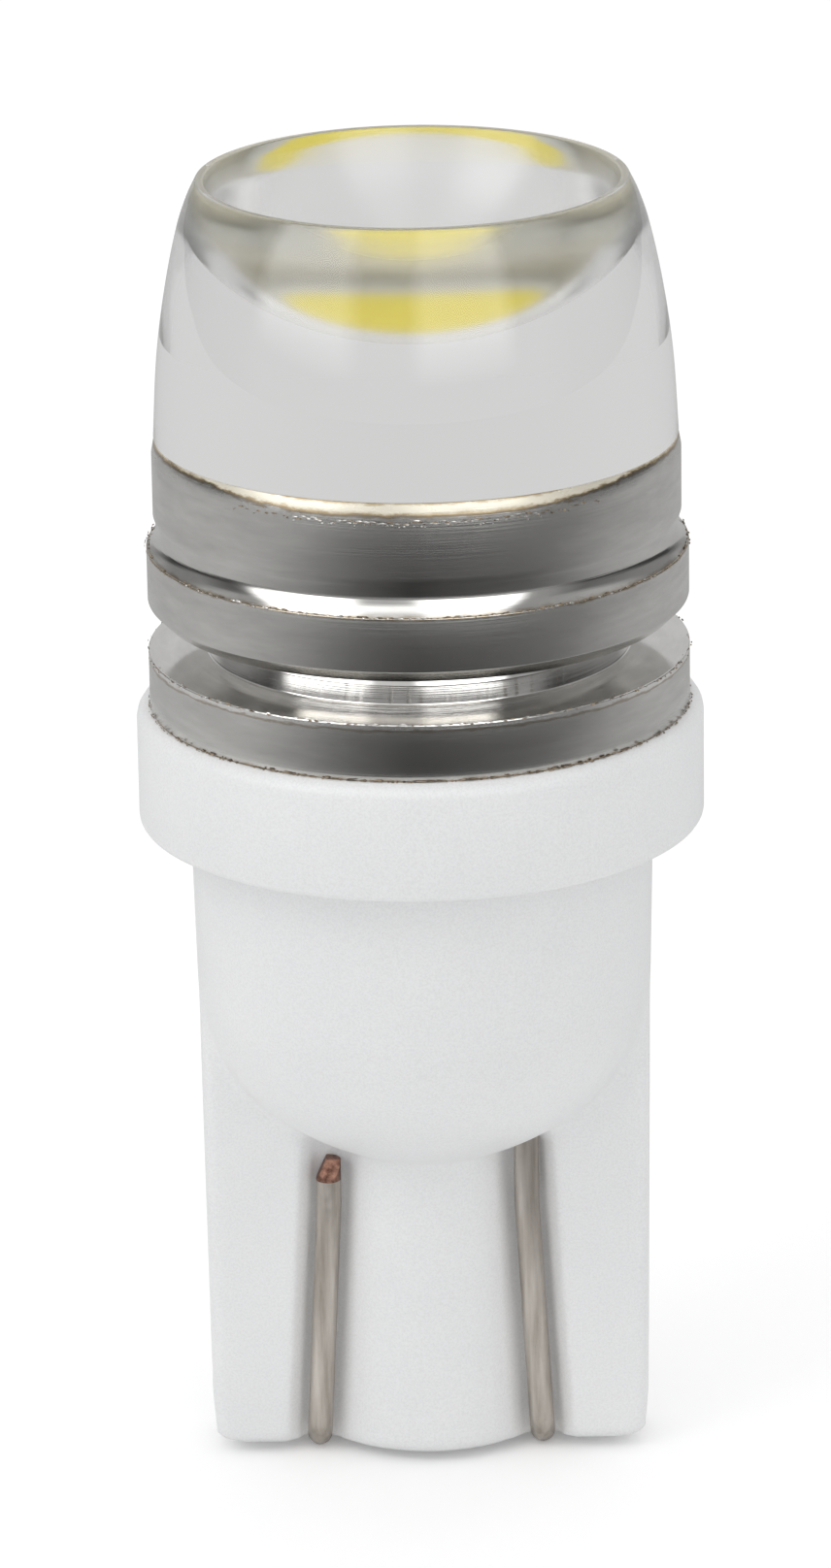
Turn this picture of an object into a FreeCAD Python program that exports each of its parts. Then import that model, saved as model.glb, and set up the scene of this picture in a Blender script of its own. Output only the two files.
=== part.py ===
"""Wedge base LED bulb: a clear lens on a turned aluminium heat sink, in a moulded wedge base.

The origin is on the bulb's axis, level with the lowest point of the contact wires.
+Z runs up the axis towards the lens, X runs across the blade and Y through its thickness.
"""
import FreeCAD, Part
import Sketcher
import math
import os

doc = FreeCAD.newDocument("wedge_base_led_bulb")

# Driving dimensions, in millimetres and degrees

SIZES = (
    # Contact wires, bent round the blade's bottom edge
    ("wire_diameter", 0.52),
    ("wire_drop", 0.22),
    ("wire_spread_top", 4.12),
    ("wire_spread_bottom", 4.74),
    ("wire_bend_radius", 0.55),
    ("wire_kink_drop", 0.9),
    ("wire_cut_rise", 0.09),
    ("wire_cut_length", 0.5),
    ("wire_cut_depth", 0.22),
    ("wire_inner_length", 2.6),
    ("wire_seat_gap", 0.04),
    ("wire_hole_clearance", 0.03),
    # Moulded base
    ("seat_height", 13.95),
    ("collar_radius", 5.8),
    ("collar_height", 2.44),
    ("collar_top_round", 0.28),
    ("collar_bottom_bevel", 0.12),
    ("neck_top_radius", 4.76),
    ("neck_bottom_radius", 4.69),
    ("dome_depth", 4.0),
    ("dome_shoulder_radius", 3.6),
    ("dome_drop", 7.42),
    ("blade_width", 9.27),
    ("blade_thickness", 2.1),
    ("blade_side_bevel", 0.3),
    ("blade_corner_round", 0.42),
    ("blade_edge_bevel", 0.12),
    ("blade_top_inset", 0.1),
    ("rib_thickness", 3.36),
    ("web_thickness", 1.2),
    ("groove_side_gap", 0.05),
    ("groove_flare", 0.36),
    ("cavity_radius", 3.9),
    ("cavity_floor_radius", 3.0),
    ("dome_wall", 1.77),
    ("cavity_slope", 1.9),
    ("spigot_end_gap", 0.1),
    # Turned heat sink
    ("spigot_radius", 4.3),
    ("spigot_clearance", 0.02),
    ("spigot_length", 2.4),
    ("spigot_bore_radius", 3.5),
    ("spigot_bore_depth", 3.2),
    ("lower_flange_step", 0.28),
    ("lower_flange_height", 1.2),
    ("flange_gap", 0.81),
    ("core_depth", 1.22),
    ("upper_flange_step", 0.29),
    ("upper_flange_height", 1.38),
    ("upper_flange_chamfer", 0.27),
    ("sleeve_step", 0.15),
    ("sleeve_height", 2.3),
    ("sleeve_chamfer", 0.07),
    ("sleeve_chamfer_height", 0.36),
    ("cove_height", 0.68),
    ("cove_depth", 0.03),
    ("edge_break", 0.05),
    ("sleeve_wall", 0.51),
    ("pocket_depth", 1.9),
    # Clear lens
    ("lens_step", 0.05),
    ("lens_height", 5.26),
    ("lens_taper", 0.97),
    ("lens_rim_width", 0.16),
    ("lens_bowl_depth", 3.22),
    # Light emitter on its board
    ("led_board_clearance", 0.15),
    ("emitter_fit", 0.01),
    ("led_board_thickness", 0.8),
    ("slug_radius", 1.45),
    ("frame_margin", 0.8),
    ("frame_height", 0.7),
    ("frame_wall_height", 0.35),
    ("frame_wall", 0.4),
    ("phosphor_crown", 0.12),
    ("die_side", 1.0),
    ("die_thickness", 0.15),
    ("lead_width", 0.7),
    ("lead_thickness", 0.15),
    ("lead_margin", 0.05),
    ("lead_rise", 0.3),
    # Driver board standing in the base
    ("driver_width", 6.3),
    ("driver_lift", 0.75),
    ("driver_height", 7.3),
    ("driver_thickness", 0.8),
    ("solder_width", 0.94),
    ("solder_lift", 1.0),
    ("rectifier_width", 2.6),
    ("rectifier_height", 2.2),
    ("rectifier_depth", 1.1),
    ("rectifier_lift", 1.6),
    ("capacitor_width", 2.0),
    ("capacitor_height", 1.25),
    ("capacitor_depth", 1.2),
    ("capacitor_lift", 4.8),
    ("regulator_width", 2.9),
    ("regulator_height", 1.6),
    ("regulator_depth", 1.0),
    ("regulator_lift", 4.6),
    ("resistor_width", 1.6),
    ("resistor_height", 0.8),
    ("resistor_depth", 0.5),
    ("resistor_lift", 1.0),
    ("resistor_pitch", 1.4),
    # Insulated wires from the driver up to the light emitter
    ("feed_diameter", 0.7),
    ("feed_spread", 6.0),
    ("feed_overlap", 1.9),
    ("feed_stub", 0.2),
    ("feed_fit", 0.02),
    ("feed_hole_clearance", 0.04),
)

sheet = doc.addObject("Spreadsheet::Sheet", "Sizes")
for row, (alias, number) in enumerate(SIZES, start=1):
    sheet.set("A%d" % row, alias)
    sheet.set("B%d" % row, str(number))
    sheet.setAlias("B%d" % row, alias)
doc.recompute()


def value(expression):
    """Number that an expression of driving dimensions stands for now."""
    result = sheet.evalExpression(expression)
    return float(getattr(result, "Value", result))


def s(text):
    """Expression text with each name in braces turned into a cell of the sheet."""
    return "(" + text.replace("{", "Sizes.").replace("}", "") + ")"


# Heights up the axis, each worked out from the sizes below it

BLADE_BOTTOM = s("{wire_drop}")
NOTCH_FLOOR = s("{wire_diameter} + {wire_seat_gap}")
DOME_BOTTOM = s("{seat_height} - {dome_drop}")
DOME_CENTRE = s("{seat_height} - {dome_drop} + {dome_depth}")
CAVITY_FLOOR = s("{seat_height} - {dome_drop} + {dome_wall}")
DRIVER_BOTTOM = CAVITY_FLOOR + "+" + s("{driver_lift}")
DRIVER_TOP = DRIVER_BOTTOM + "+" + s("{driver_height}")
WIRE_KINK = s("{seat_height} - {dome_drop} - {wire_kink_drop}")
WIRE_CUT = s("{seat_height} - {dome_drop} + {wire_cut_rise}")
WIRE_TOP = CAVITY_FLOOR + "+" + s("{wire_inner_length}")
SEAT = s("{seat_height}")
COLLAR_TOP = s("{seat_height} + {collar_height}")
SPIGOT_BOTTOM = COLLAR_TOP + "-" + s("{spigot_length}")
SPIGOT_CEILING = SPIGOT_BOTTOM + "+" + s("{spigot_bore_depth}")
GROOVE_BOTTOM = COLLAR_TOP + "+" + s("{lower_flange_height}")
GROOVE_TOP = GROOVE_BOTTOM + "+" + s("{flange_gap}")
SLEEVE_BOTTOM = GROOVE_TOP + "+" + s("{upper_flange_height}")
LENS_SEAT = SLEEVE_BOTTOM + "+" + s("{sleeve_height}")
POCKET_FLOOR = LENS_SEAT + "-" + s("{pocket_depth}")
LENS_TOP = LENS_SEAT + "+" + s("{lens_height}")
LED_BOARD_TOP = POCKET_FLOOR + "+" + s("{led_board_thickness}")
CUP_FLOOR = LED_BOARD_TOP + "+" + s("{frame_height} - {frame_wall_height}")
FRAME_TOP = LED_BOARD_TOP + "+" + s("{frame_height}")

# Radii from the collar up to the lens, each set in from the one below it

LOWER_FLANGE = s("{collar_radius} - {lower_flange_step}")
CORE = "(" + LOWER_FLANGE + "-" + s("{core_depth}") + ")"
UPPER_FLANGE = s("{collar_radius} - {upper_flange_step}")
SLEEVE = "(" + UPPER_FLANGE + "-" + s("{sleeve_step}") + ")"
POCKET = "(" + SLEEVE + "-" + s("{sleeve_wall}") + ")"
LENS_FOOT = "(" + SLEEVE + "-" + s("{lens_step}") + ")"
LENS_RIM = "(" + LENS_FOOT + "-" + s("{lens_taper}") + ")"
LED_BOARD = "(" + POCKET + "-" + s("{led_board_clearance}") + ")"
FRAME = "(" + LED_BOARD + "-" + s("{frame_margin}") + ")"
CUP = "(" + FRAME + "-" + s("{frame_wall}") + ")"
CUP_FOOT = "(" + CUP + "-" + s("{frame_wall_height} / 2") + ")"

# The dome's outline is a nose arc that runs smoothly into a tighter shoulder arc

DOME_WAIST = s("{neck_bottom_radius} - {dome_shoulder_radius}")
NOSE_RADIUS = ("((" + s("{dome_depth}^2 - {dome_shoulder_radius}^2") + "+" + DOME_WAIST + "^2)/"
               + s("2 * ({dome_depth} - {dome_shoulder_radius})") + ")")
NOSE_SPAN = "(" + NOSE_RADIUS + "-" + s("{dome_shoulder_radius}") + ")"
NOSE_END_RADIUS = "(" + NOSE_RADIUS + "*" + DOME_WAIST + "/" + NOSE_SPAN + ")"
NOSE_END_HEIGHT = ("(" + DOME_BOTTOM + "+" + NOSE_RADIUS + "+" + NOSE_RADIUS + "*("
                   + s("{dome_depth}") + "-" + NOSE_RADIUS + ")/" + NOSE_SPAN + ")")

# Places across the blade

WIRE_RADIUS = s("{wire_diameter} / 2")
WIRE_FACE = s("{web_thickness} / 2 + {wire_diameter} / 2 + {wire_seat_gap}")
WIRE_UPPER = s("{wire_spread_top} / 2")
GROOVE_HALF = s("{wire_diameter} / 2 + {groove_side_gap}")
BOARD_FACE = s("{driver_thickness} / 2")
FEED_X = s("{feed_spread} / 2")
FEED_Y = s("{driver_thickness} / 2 + {feed_diameter} / 2 + {feed_fit}")


def body(label):
    """New empty body for one sub-part."""
    made = doc.addObject("PartDesign::Body", label)
    made.Label = label
    return made


def plane(owner, role):
    """One of a body's own origin planes."""
    return next(p for p in owner.Origin.OriginFeatures if p.Role == role)


def drive(sketch, kind, geometry, point, expression):
    """Hold one coordinate of a sketch point at an expression, measured from the origin."""
    sketch.addConstraint(Sketcher.Constraint(kind, -1, 1, geometry, point, value(expression)))
    sketch.setExpression("Constraints[%d]" % (sketch.ConstraintCount - 1), expression)


def outline(owner, label, role, corners, arcs=None, height=None):
    """Closed sketch through corners given as pairs of expressions.

    arcs maps a corner's number to the radius expression and the side (1 left, -1 right) of the
    arc's centre, for the edge that leaves that corner. height lifts the sketch off its plane.
    """
    arcs = arcs or {}
    sketch = owner.newObject("Sketcher::SketchObject", label)
    sketch.AttachmentSupport = (plane(owner, role), [""])
    sketch.MapMode = "FlatFace"
    if height:
        sketch.setExpression("AttachmentOffset.Base.z", height)
    places = [FreeCAD.Vector(value(x), value(y), 0) for x, y in corners]
    count = len(places)
    for number, start in enumerate(places):
        end = places[(number + 1) % count]
        if number in arcs:
            radius, side = arcs[number]
            sketch.addGeometry(arc_between(start, end, value(radius), side), False)
        else:
            sketch.addGeometry(Part.LineSegment(start, end), False)
    # The first end of each edge lies at its corner, except that an arc drawn backwards swaps them
    first = [2 if n in arcs and arcs[n][1] < 0 else 1 for n in range(count)]
    last = [3 - end for end in first]
    for number in range(count):
        following = (number + 1) % count
        sketch.addConstraint(Sketcher.Constraint("Coincident", number, last[number],
                                                 following, first[following]))
    for number, (x, y) in enumerate(corners):
        drive(sketch, "DistanceX", number, first[number], x)
        drive(sketch, "DistanceY", number, first[number], y)
    for number, (radius, side) in arcs.items():
        sketch.addConstraint(Sketcher.Constraint("Radius", number, value(radius)))
        sketch.setExpression("Constraints[%d]" % (sketch.ConstraintCount - 1), radius)
    return sketch


def arc_between(start, end, radius, side):
    """Minor arc from start to end, its centre on the left (1) or right (-1) of the chord."""
    chord = end - start
    half = chord.Length / 2
    rise = (radius * radius - half * half) ** 0.5
    across = FreeCAD.Vector(-chord.y, chord.x, 0).normalize()
    centre = start + chord * 0.5 + across * (rise * side)
    crown = centre - across * (radius * side)
    return Part.Arc(start, crown, end)


def turned(owner, label, corners, arcs=None):
    """Solid turned about the axis from an outline of radius and height pairs."""
    sketch = outline(owner, label + "_profile", "XZ_Plane", corners, arcs)
    feature = owner.newObject("PartDesign::Revolution", label)
    feature.Profile = sketch
    feature.ReferenceAxis = (sketch, ["V_Axis"])
    feature.Angle = 360
    doc.recompute()
    return feature


def bored(owner, label, corners, arcs=None):
    """Round hollow cut out of a body about the axis."""
    sketch = outline(owner, label + "_profile", "XZ_Plane", corners, arcs)
    feature = owner.newObject("PartDesign::Groove", label)
    feature.Profile = sketch
    feature.ReferenceAxis = (sketch, ["V_Axis"])
    feature.Angle = 360
    doc.recompute()
    return feature


def drilled(owner, label, x, y, radius, bottom, top):
    """Straight hole parallel to the axis, from one height up to another."""
    sketch = owner.newObject("Sketcher::SketchObject", label + "_circle")
    sketch.AttachmentSupport = (plane(owner, "XY_Plane"), [""])
    sketch.MapMode = "FlatFace"
    sketch.setExpression("AttachmentOffset.Base.z", bottom)
    centre = FreeCAD.Vector(value(x), value(y), 0)
    sketch.addGeometry(Part.Circle(centre, FreeCAD.Vector(0, 0, 1), value(radius)), False)
    drive(sketch, "DistanceX", 0, 3, x)
    drive(sketch, "DistanceY", 0, 3, y)
    sketch.addConstraint(Sketcher.Constraint("Radius", 0, value(radius)))
    sketch.setExpression("Constraints[%d]" % (sketch.ConstraintCount - 1), radius)
    feature = owner.newObject("PartDesign::Pocket", label)
    feature.Profile = sketch
    feature.Type = 0
    feature.Reversed = True
    feature.setExpression("Length", top + "-" + bottom)
    doc.recompute()
    return feature


def bevelled(owner, label, size, wanted):
    """Bevel on each edge of the body so far that the test picks out."""
    base = owner.Tip
    names = ["Edge%d" % (n + 1) for n, edge in enumerate(base.Shape.Edges) if wanted(edge)]
    feature = owner.newObject("PartDesign::Chamfer", label)
    feature.Base = (base, names)
    feature.setExpression("Size", size)
    doc.recompute()
    return feature


# Moulded base: collar, neck and dome turned as one, the blade below them, and the hollow for the driver

base = body("wedge_base")
SHOULDER_TURN = "atan((" + NOSE_RADIUS + "-" + s("{dome_depth}") + ")/" + DOME_WAIST + ")"
SHOULDER_CHORDS = 4


def on_shoulder(chord):
    """Radius and height of a chord's end on the shoulder arc, counted down from the neck."""
    angle = SHOULDER_TURN + "*" + str(chord) + "/" + str(SHOULDER_CHORDS)
    reach = s("{dome_shoulder_radius}") + "*"
    return DOME_WAIST + "+" + reach + "cos(" + angle + ")", DOME_CENTRE + "-" + reach + "sin(" + angle + ")"


turned(base, "collar_and_dome", (
    ("0", DOME_BOTTOM),
    (NOSE_END_RADIUS, NOSE_END_HEIGHT),
    on_shoulder(3),
    on_shoulder(2),
    on_shoulder(1),
    (s("{neck_bottom_radius}"), DOME_CENTRE),
    (s("{neck_top_radius}"), SEAT),
    (s("{collar_radius} - {collar_bottom_bevel}"), SEAT),
    (s("{collar_radius}"), s("{seat_height} + {collar_bottom_bevel}")),
    (s("{collar_radius}"), COLLAR_TOP + "-" + s("{collar_top_round}")),
    (s("{collar_radius} - {collar_top_round} * (1 - sqrt(0.5))"),
     COLLAR_TOP + "-" + s("{collar_top_round} * (1 - sqrt(0.5))")),
    (s("{collar_radius} - {collar_top_round}"), COLLAR_TOP),
    ("0", COLLAR_TOP),
), {
    0: (NOSE_RADIUS, 1),
})


def spread(height):
    """Distance of a groove's middle from the axis at a height up the blade."""
    climb = "((" + height + "-" + BLADE_BOTTOM + ")/(" + WIRE_KINK + "-" + BLADE_BOTTOM + "))"
    foot = s("{wire_spread_bottom} / 2")
    lean = s("({wire_spread_bottom} - {wire_spread_top}) / 2")
    return "(" + foot + "-" + lean + "*" + climb + ")"


def wing_end(half):
    """Distance from the axis to a wing's flat end, whose edges lie half away from the axis."""
    return "sqrt(" + half + "^2-" + s("{blade_thickness} / 2 - {blade_side_bevel}") + "^2)"


RIB_CHORDS = 6


def blade_section(label, height, half):
    """Cross-section of the blade: two wings, two wire grooves and the rounded rib between them.

    half is the distance from the axis to the edges of the wings' ends, which lie on the neck's round.
    """
    groove = spread(height)
    wing = s("{blade_thickness} / 2")
    web = s("{web_thickness} / 2")
    inner = "(" + groove + "-" + GROOVE_HALF + ")"
    outer = "(" + groove + "+" + GROOVE_HALF + ")"
    lip = "(" + outer + "+" + s("{groove_flare}") + ")"
    bevel = s("{blade_side_bevel}")
    end = wing_end(half)
    rise = s("({rib_thickness} - {web_thickness}) / 2")
    rib = "((" + inner + "^2+" + rise + "^2)/(2*" + rise + "))"
    wing_corners = ((lip, wing), (end + "-" + bevel, wing), (end, wing + "-" + bevel))
    quarter = ((inner, web), (outer, web)) + wing_corners
    right_front = [(x, "-(" + y + ")") for x, y in quarter]
    right_back = list(reversed(quarter))
    left_back = [("-(" + x + ")", y) for x, y in quarter]
    left_front = [("-(" + x + ")", "-(" + y + ")") for x, y in reversed(quarter)]
    sunk = s("{rib_thickness} / 2") + "-" + rib
    crown = []
    for chord in range(1, RIB_CHORDS):
        across = inner + "*" + str(1 - 2 * chord / RIB_CHORDS)
        crown.append((across, sunk + "+sqrt(" + rib + "^2-(" + across + ")^2)"))
    crown_front = [(x, "-(" + y + ")") for x, y in reversed(crown)]
    corners = right_front + right_back + crown + left_back + left_front + crown_front
    return outline(base, label, "XY_Plane", corners, None, height)


lower = blade_section("blade_lower_section", BLADE_BOTTOM, s("{blade_width} / 2"))
HALF_TOP = s("{neck_top_radius} - {blade_top_inset}")
upper = blade_section("blade_upper_section", SEAT, HALF_TOP)
blade = base.newObject("PartDesign::AdditiveLoft", "blade")
blade.Profile = lower
blade.Sections = [upper]
blade.Ruled = True
doc.recompute()

# The blade's bottom: rounded wing corners, a soft outline, and a notch where each wire turns under

HALF_BLADE = s("{blade_width} / 2")
CORNER = s("{blade_corner_round}")
CORNER_TOP = BLADE_BOTTOM + "+" + CORNER
END_LOW = wing_end(HALF_BLADE)
END_HIGH = wing_end(HALF_TOP)
END_RISE = "(" + END_HIGH + "-" + END_LOW + ")/(" + SEAT + "-" + BLADE_BOTTOM + ")"
CORNER_HALF = END_LOW + "+" + CORNER + "*" + END_RISE
for side, sign in (("left", "-"), ("right", "")):
    cut = outline(base, "wing_corner_" + side + "_shape", "XZ_Plane", (
        (sign + "(" + CORNER_HALF + ")", CORNER_TOP),
        (sign + "(" + CORNER_HALF + "-" + CORNER + ")", BLADE_BOTTOM),
        (sign + "(" + CORNER_HALF + "-" + CORNER + ")", BLADE_BOTTOM + "-" + CORNER),
        (sign + "(" + CORNER_HALF + "+" + CORNER + ")", BLADE_BOTTOM + "-" + CORNER),
        (sign + "(" + CORNER_HALF + "+" + CORNER + ")", CORNER_TOP),
    ), {0: (CORNER, 1 if sign else -1)})
    corner_cut = base.newObject("PartDesign::Pocket", "wing_corner_" + side)
    corner_cut.Profile = cut
    corner_cut.Midplane = True
    corner_cut.setExpression("Length", s("{blade_thickness} * 2"))
    doc.recompute()


def at_blade_bottom(edge):
    """Whether an edge is part of the flat outline under the blade, between the wing corners."""
    box = edge.BoundBox
    across = box.YLength > value(s("{blade_thickness}")) - 0.001
    return box.ZMax < value(BLADE_BOTTOM) + 0.001 and not across


bevelled(base, "blade_bottom_bevel", s("{blade_edge_bevel}"), at_blade_bottom)

NOTCH_MIDDLE = spread(NOTCH_FLOOR)
for side, sign in (("left", "-"), ("right", "")):
    cut = outline(base, "wire_notch_" + side + "_shape", "XZ_Plane", (
        (sign + "(" + NOTCH_MIDDLE + "-" + GROOVE_HALF + ")", "0"),
        (sign + "(" + NOTCH_MIDDLE + "-" + GROOVE_HALF + ")", NOTCH_FLOOR),
        (sign + "(" + NOTCH_MIDDLE + "+" + GROOVE_HALF + ")", NOTCH_FLOOR),
        (sign + "(" + NOTCH_MIDDLE + "+" + GROOVE_HALF + "+" + s("{groove_flare}") + ")", BLADE_BOTTOM),
        (sign + "(" + NOTCH_MIDDLE + "+" + GROOVE_HALF + "+" + s("{groove_flare}") + ")", "0"),
    ))
    notch = base.newObject("PartDesign::Pocket", "wire_notch_" + side)
    notch.Profile = cut
    notch.Midplane = True
    notch.setExpression("Length", s("{rib_thickness} * 2"))
    doc.recompute()


def at_notch_floor(edge):
    """Whether an edge runs along the front or back of a notch's floor."""
    box = edge.BoundBox
    level = max(abs(box.ZMin - value(NOTCH_FLOOR)), abs(box.ZMax - value(NOTCH_FLOOR))) < 0.001
    return level and box.YLength < 0.001


BEND_INSIDE = s("{wire_bend_radius} - {wire_diameter} / 2 - {wire_seat_gap}")
bevelled(base, "wire_notch_bevel", BEND_INSIDE, at_notch_floor)

SHOULDER = SPIGOT_BOTTOM + "-" + s("{spigot_end_gap}")
SPIGOT_BORE = s("{spigot_radius} + {spigot_clearance}")
bored(base, "driver_hollow", (
    ("0", CAVITY_FLOOR),
    (s("{cavity_floor_radius}"), CAVITY_FLOOR),
    (s("{cavity_radius}"), CAVITY_FLOOR + "+" + s("{cavity_slope}")),
    (s("{cavity_radius}"), SHOULDER),
    (SPIGOT_BORE, SHOULDER),
    (SPIGOT_BORE, COLLAR_TOP + "+" + s("{collar_height}")),
    ("0", COLLAR_TOP + "+" + s("{collar_height}")),
))
WIRE_HOLE = s("{wire_diameter} / 2 + {wire_hole_clearance}")
for side, x, y in (("right", WIRE_UPPER, "-" + WIRE_FACE), ("left", "-" + WIRE_UPPER, WIRE_FACE)):
    drilled(base, "wire_hole_" + side, x, y, WIRE_HOLE,
            "(" + WIRE_CUT + ")", "(" + CAVITY_FLOOR + "+" + s("{wire_diameter}") + ")")


# Contact wires: each leaves the dome on one face, runs down its groove, turns under the blade
# and ends in a snipped tip on the other face

BEND_CHORDS = 3
STRAIGHT_ENOUGH = 80
MITRED = 1


def bent_path(points, radius, chords):
    """Wire of straight runs, with each bend of more than a slight angle made of mitred chords."""
    places = [points[0]]
    for before, corner, after in zip(points, points[1:], points[2:]):
        into = (before - corner).normalize()
        away = (after - corner).normalize()
        half = into.getAngle(away) / 2
        if half > math.radians(STRAIGHT_ENOUGH):
            places.append(corner)
            continue
        middle = (into + away).normalize()
        centre = corner + middle * (radius / math.sin(half))
        turn = math.pi - 2 * half
        outward = centre * -1 + corner + into * (radius / math.tan(half))
        sideways = (into * -1).normalize()
        stretch = 1 / math.cos(turn / chords / 2)
        for step in range(chords):
            angle = turn * (step + 0.5) / chords
            spoke = outward * math.cos(angle) + sideways * radius * math.sin(angle)
            places.append(centre + spoke * stretch)
    places.append(points[-1])
    return Part.makePolygon(places)


def contact_wire(label, turn):
    """Bent contact wire with a snipped end, turned about the axis by half turns."""
    radius = value(WIRE_RADIUS)
    face = value(WIRE_FACE)
    upper = value(WIRE_UPPER)
    lower_x = value(spread(WIRE_RADIUS))
    bend = value(s("{wire_bend_radius}"))
    route = [
        FreeCAD.Vector(upper, -face, value(WIRE_TOP)),
        FreeCAD.Vector(upper, -face, value(WIRE_KINK)),
        FreeCAD.Vector(lower_x, -face, radius),
        FreeCAD.Vector(lower_x, face, radius),
        FreeCAD.Vector(upper, face, value(WIRE_KINK)),
        FreeCAD.Vector(upper, face, value(WIRE_CUT)),
    ]
    path = bent_path(route, bend, BEND_CHORDS)
    ring = Part.Wire(Part.makeCircle(radius, route[0], FreeCAD.Vector(0, 0, 1)))
    wire = path.makePipeShell([ring], True, False, MITRED)
    expected = math.pi * radius ** 2 * path.Length
    if abs(wire.Volume - expected) > expected * 0.01:
        raise ValueError(label + " has the volume of a broken sweep")
    depth = value(s("{wire_cut_depth}"))
    drop = value(s("{wire_cut_length}"))
    top = route[-1]
    reach = value(s("{wire_diameter}"))
    # Two bevels, one from the outer side and one from the open face, leave a sharp chisel
    outer_bevel = Part.makePolygon([
        FreeCAD.Vector(top.x + radius - depth, face - reach, top.z),
        FreeCAD.Vector(top.x + radius, face - reach, top.z - drop),
        FreeCAD.Vector(top.x + reach, face - reach, top.z - drop),
        FreeCAD.Vector(top.x + reach, face - reach, top.z + reach),
        FreeCAD.Vector(top.x + radius - depth, face - reach, top.z + reach),
        FreeCAD.Vector(top.x + radius - depth, face - reach, top.z),
    ])
    face_bevel = Part.makePolygon([
        FreeCAD.Vector(top.x - reach, face + radius - depth, top.z),
        FreeCAD.Vector(top.x - reach, face + radius, top.z - drop),
        FreeCAD.Vector(top.x - reach, face + reach, top.z - drop),
        FreeCAD.Vector(top.x - reach, face + reach, top.z + reach),
        FreeCAD.Vector(top.x - reach, face + radius - depth, top.z + reach),
        FreeCAD.Vector(top.x - reach, face + radius - depth, top.z),
    ])
    wire = wire.cut(Part.Face(outer_bevel).extrude(FreeCAD.Vector(0, 2 * reach, 0)))
    wire = wire.cut(Part.Face(face_bevel).extrude(FreeCAD.Vector(2 * reach, 0, 0)))
    made = doc.addObject("Part::Feature", label)
    made.Label = label
    made.Shape = wire.Solids[0] if wire.Solids else wire
    made.Placement = FreeCAD.Placement(FreeCAD.Vector(), FreeCAD.Rotation(FreeCAD.Vector(0, 0, 1), turn))
    return made


contact_right = contact_wire("contact_wire_right", 0)
contact_left = contact_wire("contact_wire_left", 180)
doc.recompute()

# Heat sink: one turned aluminium piece with two fins, a sleeve for the lens and a hollow spigot

sink = body("heat_sink")
turned(sink, "heat_sink_turning", (
    (s("{spigot_bore_radius}"), SPIGOT_BOTTOM),
    (s("{spigot_radius} - {edge_break}"), SPIGOT_BOTTOM),
    (s("{spigot_radius}"), SPIGOT_BOTTOM + "+" + s("{edge_break}")),
    (s("{spigot_radius}"), COLLAR_TOP),
    (LOWER_FLANGE, COLLAR_TOP),
    (LOWER_FLANGE, GROOVE_BOTTOM + "-" + s("{edge_break}")),
    (LOWER_FLANGE + "-" + s("{edge_break}"), GROOVE_BOTTOM),
    (CORE, GROOVE_BOTTOM),
    (CORE, GROOVE_TOP),
    (UPPER_FLANGE + "-" + s("{upper_flange_chamfer}"), GROOVE_TOP),
    (UPPER_FLANGE, GROOVE_TOP + "+" + s("{upper_flange_chamfer}")),
    (UPPER_FLANGE, SLEEVE_BOTTOM),
    (SLEEVE, SLEEVE_BOTTOM + "+" + s("{cove_height} / 4")),
    (SLEEVE + "-" + s("{cove_depth}"), SLEEVE_BOTTOM + "+" + s("{cove_height} / 2")),
    (SLEEVE, SLEEVE_BOTTOM + "+" + s("{cove_height}")),
    (SLEEVE, LENS_SEAT + "-" + s("{sleeve_chamfer_height}")),
    (SLEEVE + "-" + s("{sleeve_chamfer}"), LENS_SEAT),
    (POCKET, LENS_SEAT),
    (POCKET, POCKET_FLOOR),
    ("0", POCKET_FLOOR),
    ("0", SPIGOT_CEILING),
    (s("{spigot_bore_radius}"), SPIGOT_CEILING),
))
FEED_HOLE = s("{feed_diameter} / 2 + {feed_hole_clearance}")
FEEDS = (("plus", FEED_X), ("minus", "-" + FEED_X))
for name, x in FEEDS:
    drilled(sink, "feed_hole_" + name, x, FEED_Y, FEED_HOLE,
            "(" + SPIGOT_CEILING + ")", "(" + POCKET_FLOOR + ")")

# Clear lens: solid, with a deep bowl in its top and a flat foot bonded to the end of the sleeve

lens = body("lens")
BOWL_RADIUS = "(" + LENS_RIM + "-" + s("{lens_rim_width}") + ")"
BOWL_ROUND = "((" + BOWL_RADIUS + "^2+" + s("{lens_bowl_depth}") + "^2)/(2*" + s("{lens_bowl_depth}") + "))"
FLANK_SHARES = ((0.20, 0.076), (0.41, 0.19), (0.68, 0.42), (0.89, 0.69))


def on_flank(taper_share, height_share):
    """Point on the lens's ogive flank, given as shares of its taper and of its height down from the rim."""
    across = s("{lens_taper}") + "*" + str(taper_share)
    down = "(" + LENS_TOP + "-(" + LENS_SEAT + "))*" + str(height_share)
    return LENS_RIM + "+" + across, LENS_TOP + "-" + down


turned(lens, "lens_turning", (
    ("0", LENS_TOP + "-" + s("{lens_bowl_depth}")),
    (BOWL_RADIUS, LENS_TOP),
    (LENS_RIM, LENS_TOP),
    on_flank(*FLANK_SHARES[0]),
    on_flank(*FLANK_SHARES[1]),
    on_flank(*FLANK_SHARES[2]),
    on_flank(*FLANK_SHARES[3]),
    (LENS_FOOT, LENS_SEAT),
    ("0", LENS_SEAT),
), {
    0: (BOWL_ROUND, 1),
})

# Light emitter: an aluminium-core board with a slug, a white frame, a die and a phosphor fill

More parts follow.
